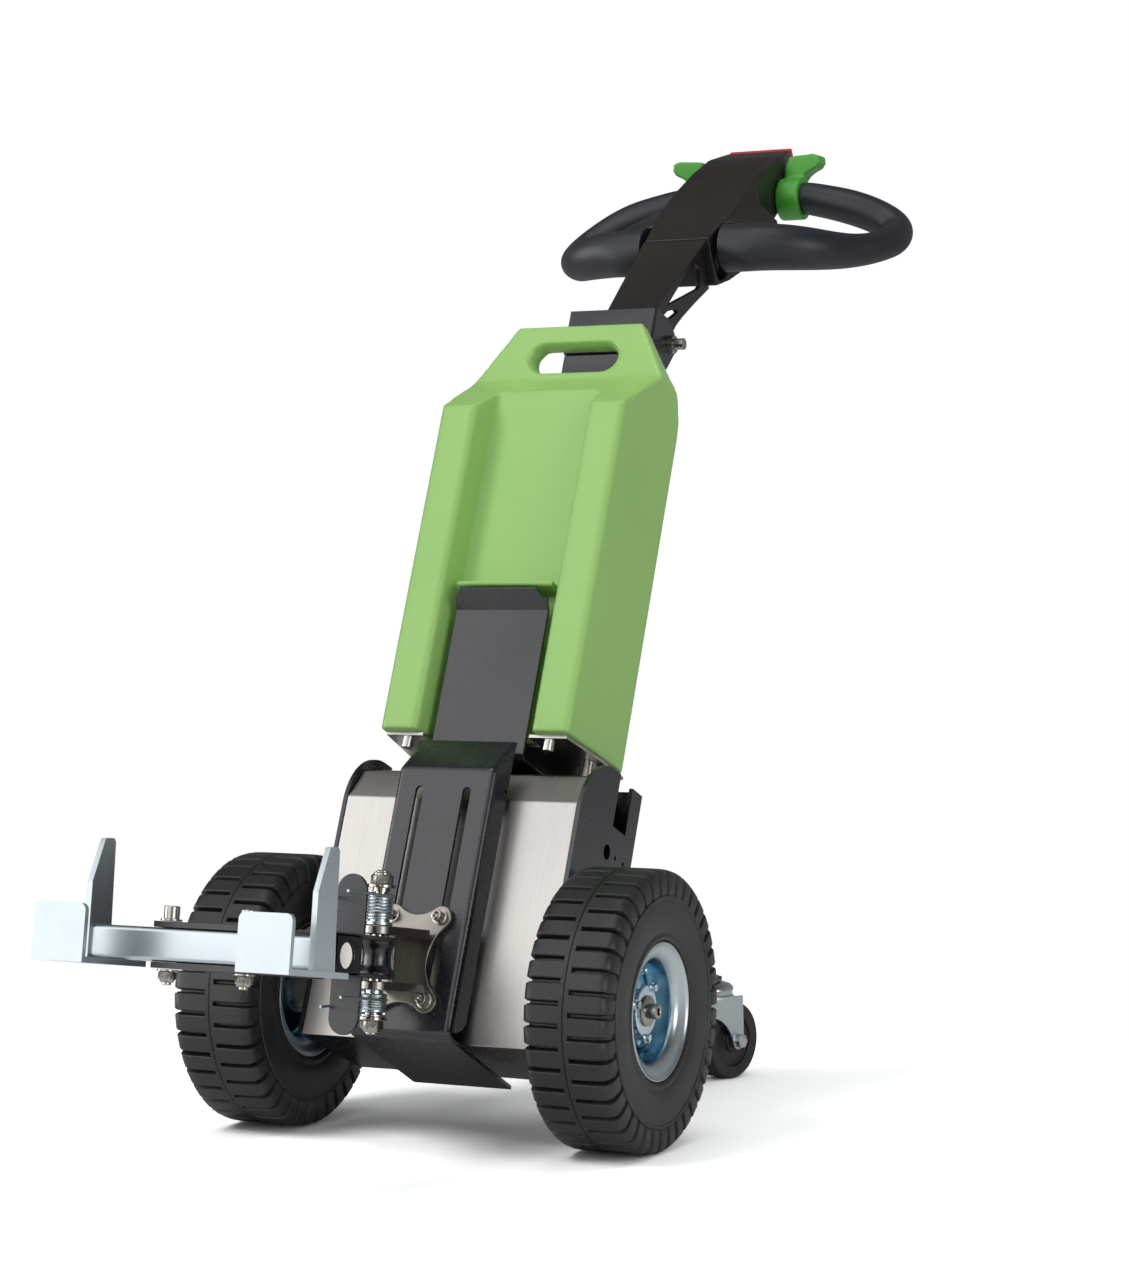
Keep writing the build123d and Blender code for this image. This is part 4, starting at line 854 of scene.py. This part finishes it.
outline += arc(-SCREW_X, SCREW_LOW, EAR, 180 - side_turn, 360 - end_turn, 16)
outline += arc(0, SCREW_LOW - end_s, END_R, 180 - end_turn, end_turn, 14)[1:-1]
outline += arc(SCREW_X, SCREW_LOW, EAR, 180 + end_turn, 360 + side_turn, 16)
outline += arc(side_x, MID_S, SIDE_R, 180 + side_turn, 180 - side_turn, 14)[1:-1]
plate_from(bm, outline, lambda x, s, n: body_at(x, n, s), 130.4, 136.4)
for low, high, far in ((16.0, 24.0, -60.0), (-34.0, -26.0, -74.0)):
    plate_from(bm, arc(0, 0, 14, 8, 172, 18) + [(-21, far), (21, far)], flat, low, high)
plate_from(bm, [(-26, -27), (-26, 17), (-62, 17), (-73, -27)], upright, -3.0, 3.0)
bracket = add_piece(
    "hitch_bracket_look", bm, NICKEL, "hitch_carriage", ("hitch_bracket",), 40.0
)
finish_edges(bracket, 0.9)

# ---------------------------------------------------------------- worked CAD pieces

# moulded parts with the skin's grid in mm and the rounds of smoothing
for node, voxel, rounds in (
    ("pack_hull", 2.4, 8),
    ("tiller_head", 1.5, 5),
    ("thumb_lever_left", 1.4, 6),
    ("thumb_lever_right", 1.4, 6),
):
    soften(node, voxel, rounds)
# parts with the width of their rounded edges in mm
for node, bevel in (
    ("side_plate_left", 0.6),
    ("side_plate_right", 0.6),
    ("column", 3.0),
    ("drive_unit", 1.5),
    ("clamp_plate_top", 0.5),
    ("clamp_plate_bottom", 0.5),
    ("tiller_neck", 0.8),
    ("stop_button", 1.2),
    ("caster_fork_left", 0.6),
    ("caster_fork_right", 0.6),
    ("caster_wheel_left", 1.6),
    ("caster_wheel_right", 1.6),
):
    dress(node, bevel)
# sheet parts with the radius inside their bends and their thickness in mm
for node, radius, sheet in (
    ("bottom_pan", 4.0, 3.0),
    ("front_cover", 3.0, 1.5),
    ("guide_strip", 3.0, 3.0),
    ("rear_panel", 3.0, 3.0),
    ("caster_frame", 4.0, 4.0),
    ("tiller_bracket", 3.0, 5.0),
    ("pack_base", 2.0, 2.0),
    ("cradle", 6.0, 5.0),
):
    fold(node, radius, sheet)

# the casters' domed swivel heads, between fork and frame
SWIVEL_X, SWIVEL_Y = 87.0, 418.0
DOME = [
    (87.1, 22.0),
    (87.6, 25.6),
    (89.0, 26.6),
    (95.0, 26.8),
    (96.2, 27.6),
    (99.0, 27.2),
    (101.6, 24.5),
    (103.2, 20.0),
    (104.4, 15.0),
]
for hand, way in (("left", -1), ("right", 1)):
    bm = bmesh.new()
    spot = Vector((way * SWIVEL_X, AY + SWIVEL_Y, 0.0)) * MM
    turned(bm, spot, Vector((0, 0, 1)), DOME, 56)
    add_piece("caster_dome_" + hand, bm, ZINC, "caster_" + hand, (), 40.0)

# the hitch plate: one folded sheet with a flange down each side, a top flap, a toe and two slots
PLATE_CORNERS = [(98.3, 360.0), (130.0, 322.0), (130.0, 63.0), (-11.4, 51.2)]
PLATE_BEND, PLATE_SHEET, PLATE_RIM = 9.0, 3.6, 0.45
FACE_N, HALF, FOLD_R = 130.0, 52.0, 7.0
# the flanges run along the face and the flap, are cut off at a slant by the toe, and fade at the top
FLANGED_N, FLANGED_S = 96, 70.5
FLANGE_END, CUT_N, CUT_S, CUT_SLOPE = 100.5, 119, 71, 1.9
FLAP_FROM, FLAP_TO, FLAP_END_S, FLAP_RISE, FLAP_IN = 313, 360, 300, 55, 1.5
FADE_S, FADE_OVER = 361.5, 12
FLANGE_SHARES = (0.5, 1.0)
SLOT_X, SLOT_R, SLOT_TOP, SLOT_LOW = 25.0, 4.25, 303.7, 90.0
BEND_STEPS, FOLD_STEPS = 6, 6
# the grid's columns from the middle to the fold; a slot's own columns are its two sides and its middle
COLUMNS = (0, 10, SLOT_X - SLOT_R, SLOT_X, SLOT_X + SLOT_R, 37, HALF - FOLD_R)
SLOT_IN, SLOT_MID, SLOT_OUT = 2, 3, 4
FLAT_COUNT = len(COLUMNS) + FOLD_STEPS


def bent(points, radius):
    """A path of (n, s) points with every inner corner turned into an arc."""
    path = [Vector(points[0])]
    for k in range(1, len(points) - 1):
        here = Vector(points[k])
        back = (Vector(points[k - 1]) - here).normalized()
        ahead = (Vector(points[k + 1]) - here).normalized()
        half = back.angle(ahead) / 2
        reach = radius / (sin(half) / cos(half))
        middle = here + (back + ahead).normalized() * (radius / sin(half))
        start, end = here + back * reach - middle, here + ahead * reach - middle
        for step in range(BEND_STEPS + 1):
            way = start.lerp(end, step / BEND_STEPS).normalized()
            path.append(middle + way * radius)
    path.append(Vector(points[-1]))
    return path


# the rows of the sheet's grid: close together on the bends and at the slots' ends
line = bent(PLATE_CORNERS, PLATE_BEND)
fine_line = []
for one, two in zip(line, line[1:]):
    if (two - one).length < 200:
        pieces = max(1, int((two - one).length / 12))
        fine_line += [one.lerp(two, k / pieces) for k in range(pieces)]
    else:
        over = (308.5, SLOT_TOP, SLOT_TOP - SLOT_R, 260, 220, 180, 140, SLOT_LOW + SLOT_R, SLOT_LOW, 84, 78)
        fine_line += [one] + [Vector((FACE_N, s)) for s in over]
fine_line.append(line[-1])
bm = bmesh.new()
rows = []
for k, spot in enumerate(fine_line):
    before = fine_line[max(0, k - 1)]
    after = fine_line[min(len(fine_line) - 1, k + 1)]
    along = (after - before).normalized()
    inward = Vector((along.y, -along.x))
    if inward.x > 0 and inward.y > -0.99:
        inward = -inward
    n, s = spot
    if s > FLAP_FROM:
        share = (s - FLAP_FROM) / (FLAP_TO - FLAP_FROM)
        end = Vector((FLANGE_END - FLAP_IN * share, FLAP_END_S + FLAP_RISE * share))
    else:
        end = Vector((min(n, max(FLANGE_END, CUT_N - (s - CUT_S) * CUT_SLOPE)), s))
    flanged = s >= FLANGED_S and n > FLANGED_N
    row = []
    for side in (-1, 1):
        cross = [(side * x, n, s) for x in COLUMNS]
        for turn in range(1, FOLD_STEPS + 1):
            angle = radians(90 / FOLD_STEPS * turn)
            if flanged:
                deep = FOLD_R * (1 - cos(angle)) * min(1.0, (FADE_S - s) / FADE_OVER)
                x = HALF - FOLD_R + FOLD_R * sin(angle)
                cross.append((side * x, n + inward.x * deep, s + inward.y * deep))
            else:
                cross.append((side * (HALF - FOLD_R + FOLD_R * turn / FOLD_STEPS), n, s))
        if flanged:
            low_n, low_s = cross[-1][1:]
            for share in FLANGE_SHARES:
                cross.append((side * HALF, low_n + (end.x - low_n) * share, low_s + (end.y - low_s) * share))
        row.append([bm.verts.new(body_at(*at)) for at in cross])
    row[1][0] = row[0][0]
    rows.append((row, flanged))


def slot_holds(high, low):
    """Whether the stretch between two rows lies over a slot (its round ends too)."""
    up = [(co.y / MM - AY) * sin(COLUMN_TILT) + co.z / MM * cos(COLUMN_TILT) for co in (high, low)]
    return max(up) < SLOT_TOP + 0.1 and min(up) > SLOT_LOW - 0.1


for (one, bent_one), (two, bent_two) in zip(rows, rows[1:]):
    for hand in (0, 1):
        count = FLAT_COUNT + (len(FLANGE_SHARES) if bent_one and bent_two else 0)
        for k in range(count - 1):
            high, low = one[hand][k].co, two[hand][k].co
            if k in (SLOT_IN, SLOT_MID) and slot_holds(high, low):
                continue
            quad = (one[hand][k], one[hand][k + 1], two[hand][k + 1], two[hand][k])
            bm.faces.new(quad if hand else quad[::-1])


def row_at(s_row):
    """Number of the row that lies on the plate's face at the height s_row."""
    off = [abs(at.y - s_row) + abs(at.x - FACE_N) for at in fine_line]
    return off.index(min(off))


# the slots' round ends, filled in the grid's corners
for s_edge, s_round in ((SLOT_TOP, SLOT_TOP - SLOT_R), (SLOT_LOW, SLOT_LOW + SLOT_R)):
    way = 1 if s_edge > s_round else -1
    for hand, side in ((0, -1), (1, 1)):
        edge_row, round_row = rows[row_at(s_edge)][0][hand], rows[row_at(s_round)][0][hand]
        for end, turns in ((SLOT_IN, (157.5, 135, 112.5)), (SLOT_OUT, (22.5, 45, 67.5))):
            dots = []
            for turn in turns:
                a, b = cos(radians(turn)) * SLOT_R, sin(radians(turn)) * SLOT_R * way
                dots.append(bm.verts.new(body_at(side * (SLOT_X + a), FACE_N, s_round + b)))
            bm.faces.new([round_row[end], edge_row[end], edge_row[SLOT_MID]] + dots[::-1])
bmesh.ops.delete(bm, geom=[vert for vert in bm.verts if not vert.link_faces], context="VERTS")
bmesh.ops.recalc_face_normals(bm, faces=bm.faces[:])
ahead = body_at(0, 1, 0) - body_at(0, 0, 0)
widest = max(bm.faces, key=lambda face: abs(face.normal.dot(ahead)) * face.calc_area())
if widest.normal.dot(ahead) < 0:
    bmesh.ops.reverse_faces(bm, faces=bm.faces[:])
plate_body, plate_slot = node_body["hitch_plate"], node_slot["hitch_plate"]
plate = add_piece("hitch_plate_look", bm, POWDER, plate_body, ("hitch_plate",), None)
sheet = plate.modifiers.new("sheet", "SOLIDIFY")
sheet.thickness = PLATE_SHEET * MM
sheet.offset = -1.0
sheet.use_even_offset = True
apply_modifiers(plate)
rims = plate.modifiers.new("rims", "BEVEL")
rims.width = PLATE_RIM * MM
rims.segments = 2
rims.limit_method = "ANGLE"
rims.angle_limit = radians(50)
shade_smooth(plate.data)
even = plate.modifiers.new("even", "WEIGHTED_NORMAL")
even.weight = 100
even.thresh = 0.01
apply_modifiers(plate)

# the grip loops are shown as they are, with even shading
for hand in ("left", "right"):
    shade_smooth(frame["nodes"]["grip_loop_" + hand].data)

# ---------------------------------------------------------------- floor, light, camera



def put(tree, kind, values=None):
    """A shader node with values for its inputs, by name or number."""
    node = tree.nodes.new("ShaderNode" + kind)
    for key, value in (values or {}).items():
        node.inputs[key].default_value = value
    return node


def mixed(tree, share, one, two):
    """The mix of two shaders by a share from 0 to 1."""
    node = put(tree, "MixShader")
    for k, socket in enumerate((share, one, two)):
        tree.links.new(socket, node.inputs[k])
    return node.outputs[0]


# floor: paper white to the camera and pale in reflections, a plain glow away from the machine,
# and clear from below
floor_bm = bmesh.new()
bmesh.ops.create_grid(floor_bm, x_segments=2, y_segments=2, size=14.0)
floor = link_new("floor", mesh_from(floor_bm, "floor"))
floor.location = (0, 0, -0.0005)
floor_mat = bpy.data.materials.new("floor_pale")
floor_mat.use_nodes = True
tree = floor_mat.node_tree
tree.nodes.clear()
out_node = put(tree, "OutputMaterial")
diffuse = put(tree, "BsdfDiffuse", {"Color": (0.82, 0.82, 0.82, 1)})
paper = put(tree, "BsdfDiffuse", {"Color": (1.75, 1.75, 1.75, 1)})
glow = put(tree, "Emission", {"Strength": 1.0})
light_path = put(tree, "LightPath")
camera_ray = light_path.outputs["Is Camera Ray"]
floor_at = put(tree, "TexCoord")
reach = put(tree, "VectorMath")
reach.operation = "LENGTH"
far = put(tree, "MapRange", {"From Min": 0.45, "From Max": 0.95, "To Min": 0.0, "To Max": 1.0})
far.interpolation_type = "SMOOTHSTEP"
share = put(tree, "Math")
share.operation = "MULTIPLY"
tree.links.new(floor_at.outputs["Object"], reach.inputs[0])
tree.links.new(reach.outputs["Value"], far.inputs["Value"])
tree.links.new(camera_ray, share.inputs[0])
tree.links.new(far.outputs["Result"], share.inputs[1])
seen = mixed(tree, camera_ray, diffuse.outputs[0], paper.outputs[0])
ground = mixed(tree, share.outputs[0], seen, glow.outputs[0])
below = put(tree, "NewGeometry")
clear = put(tree, "BsdfTransparent")
one_sided = mixed(tree, below.outputs["Backfacing"], ground, clear.outputs[0])
tree.links.new(one_sided, out_node.inputs[0])
floor.data.materials.append(floor_mat)

# world: white to the camera, a dim even light, and a banded studio with three soft windows in gloss
world = bpy.data.worlds.new("studio")
bpy.context.scene.world = world
world.use_nodes = True
tree = world.node_tree
tree.nodes.clear()
out_node = put(tree, "OutputWorld")
dim = put(tree, "Background", {"Color": (0.96, 0.98, 1.0, 1), "Strength": 0.23})
white = put(tree, "Background", {"Color": (1, 1, 1, 1), "Strength": 1.0})
gloss = put(tree, "Background", {"Strength": 1.75})
light_path = put(tree, "LightPath")
way_out = put(tree, "TexCoord").outputs["Generated"]
wave = put(tree, "TexNoise", {"Scale": 1.7, "Detail": 1.0})
front = put(tree, "VectorMath", {1: (-0.42, -0.85, 0.32)})
front.operation = "DOT_PRODUCT"
waved = put(tree, "Math", {1: 0.35})
waved.operation = "MULTIPLY_ADD"
span = put(tree, "MapRange", {"From Min": -0.85, "From Max": 1.1})
bands = put(tree, "ValToRGB")
for spot, tone in ((0.05, 0.19), (0.25, 0.14), (0.5, 0.035), (0.76, 0.07), (0.93, 0.55)):
    mark = bands.color_ramp.elements.new(spot)
    mark.color = (tone * 0.98, tone * 0.99, tone * 1.02, 1)
bands.color_ramp.elements[0].color = (0.24, 0.24, 0.24, 1)
bands.color_ramp.elements[-1].color = (1.0, 1.0, 1.0, 1)
tree.links.new(way_out, front.inputs[0])
tree.links.new(way_out, wave.inputs["Vector"])
tree.links.new(wave.outputs["Fac"], waved.inputs[0])
tree.links.new(front.outputs["Value"], waved.inputs[2])
tree.links.new(waved.outputs[0], span.inputs["Value"])
tree.links.new(span.outputs["Result"], bands.inputs["Fac"])
total = None
for way, inner, outer, level in (
    ((-0.93, -0.34, 0.14), 0.972, 0.945, 2.6),
    ((0.88, -0.44, 0.18), 0.978, 0.952, 2.4),
    ((-0.10, -0.22, 0.97), 0.980, 0.950, 1.3),
):
    aim = put(tree, "VectorMath", {1: Vector(way).normalized()})
    aim.operation = "DOT_PRODUCT"
    window = put(tree, "MapRange", {"From Min": outer, "From Max": inner, "To Max": level})
    window.interpolation_type = "SMOOTHSTEP"
    tree.links.new(way_out, aim.inputs[0])
    tree.links.new(aim.outputs["Value"], window.inputs["Value"])
    if total is None:
        total = window.outputs["Result"]
    else:
        both = put(tree, "Math")
        tree.links.new(total, both.inputs[0])
        tree.links.new(window.outputs["Result"], both.inputs[1])
        total = both.outputs[0]
lit = put(tree, "VectorMath")
lit.operation = "ADD"
tree.links.new(bands.outputs["Color"], lit.inputs[0])
tree.links.new(total, lit.inputs[1])
tree.links.new(lit.outputs[0], gloss.inputs["Color"])
unseen = mixed(tree, light_path.outputs["Is Glossy Ray"], dim.outputs[0], gloss.outputs[0])
studio = mixed(tree, light_path.outputs["Is Camera Ray"], unseen, white.outputs[0])
tree.links.new(studio, out_node.inputs[0])


def softbox(name, at, aim, size, power):
    """A soft lamp at a place, aimed at another; lengths in metres, power in watts."""
    data = bpy.data.lights.new(name, "AREA")
    data.shape = "RECTANGLE"
    data.size, data.size_y = size
    data.energy = power
    lamp = bpy.data.objects.new(name, data)
    bpy.context.scene.collection.objects.link(lamp)
    lamp.location = at
    lamp.rotation_euler = (Vector(aim) - Vector(at)).to_track_quat("-Z", "Y").to_euler()
    lamp.visible_glossy = False


softbox("key", (-1.3, -2.2, 2.75), (0.0, 0.0, 0.5), (1.6, 1.6), 66)
softbox("top", (0.3, 0.2, 3.2), (0.0, 0.0, 0.4), (2.4, 2.4), 27)
softbox("fill", (2.8, -1.2, 1.2), (0.0, 0.0, 0.4), (1.8, 2.4), 32)
softbox("rear", (1.2, 2.8, 1.9), (0.0, 0.0, 0.6), (2.2, 1.2), 9)

# the photo's solved camera: focal length and height in its pixels, place in mm from under the axle
FOCAL, PHOTO_HEIGHT, SENSOR = 3141.0, 1271.0, 36.0
CAMERA_X, CAMERA_Y, CAMERA_Z = 1383.0, 2612.0, 513.0
CAMERA_DIP, CAMERA_TURN = 0.80, 25.76
camera_data = bpy.data.cameras.new("photo_view")
camera_data.sensor_width = SENSOR
camera_data.lens = SENSOR * FOCAL / PHOTO_HEIGHT
camera = bpy.data.objects.new("photo_view", camera_data)
bpy.context.scene.collection.objects.link(camera)
camera.location = Vector((CAMERA_X, AY - CAMERA_Y, CAMERA_Z)) * MM
camera.rotation_euler = (radians(90.0 - CAMERA_DIP), 0.0, radians(CAMERA_TURN))
bpy.context.scene.camera = camera
bpy.context.scene.view_settings.view_transform = "Standard"
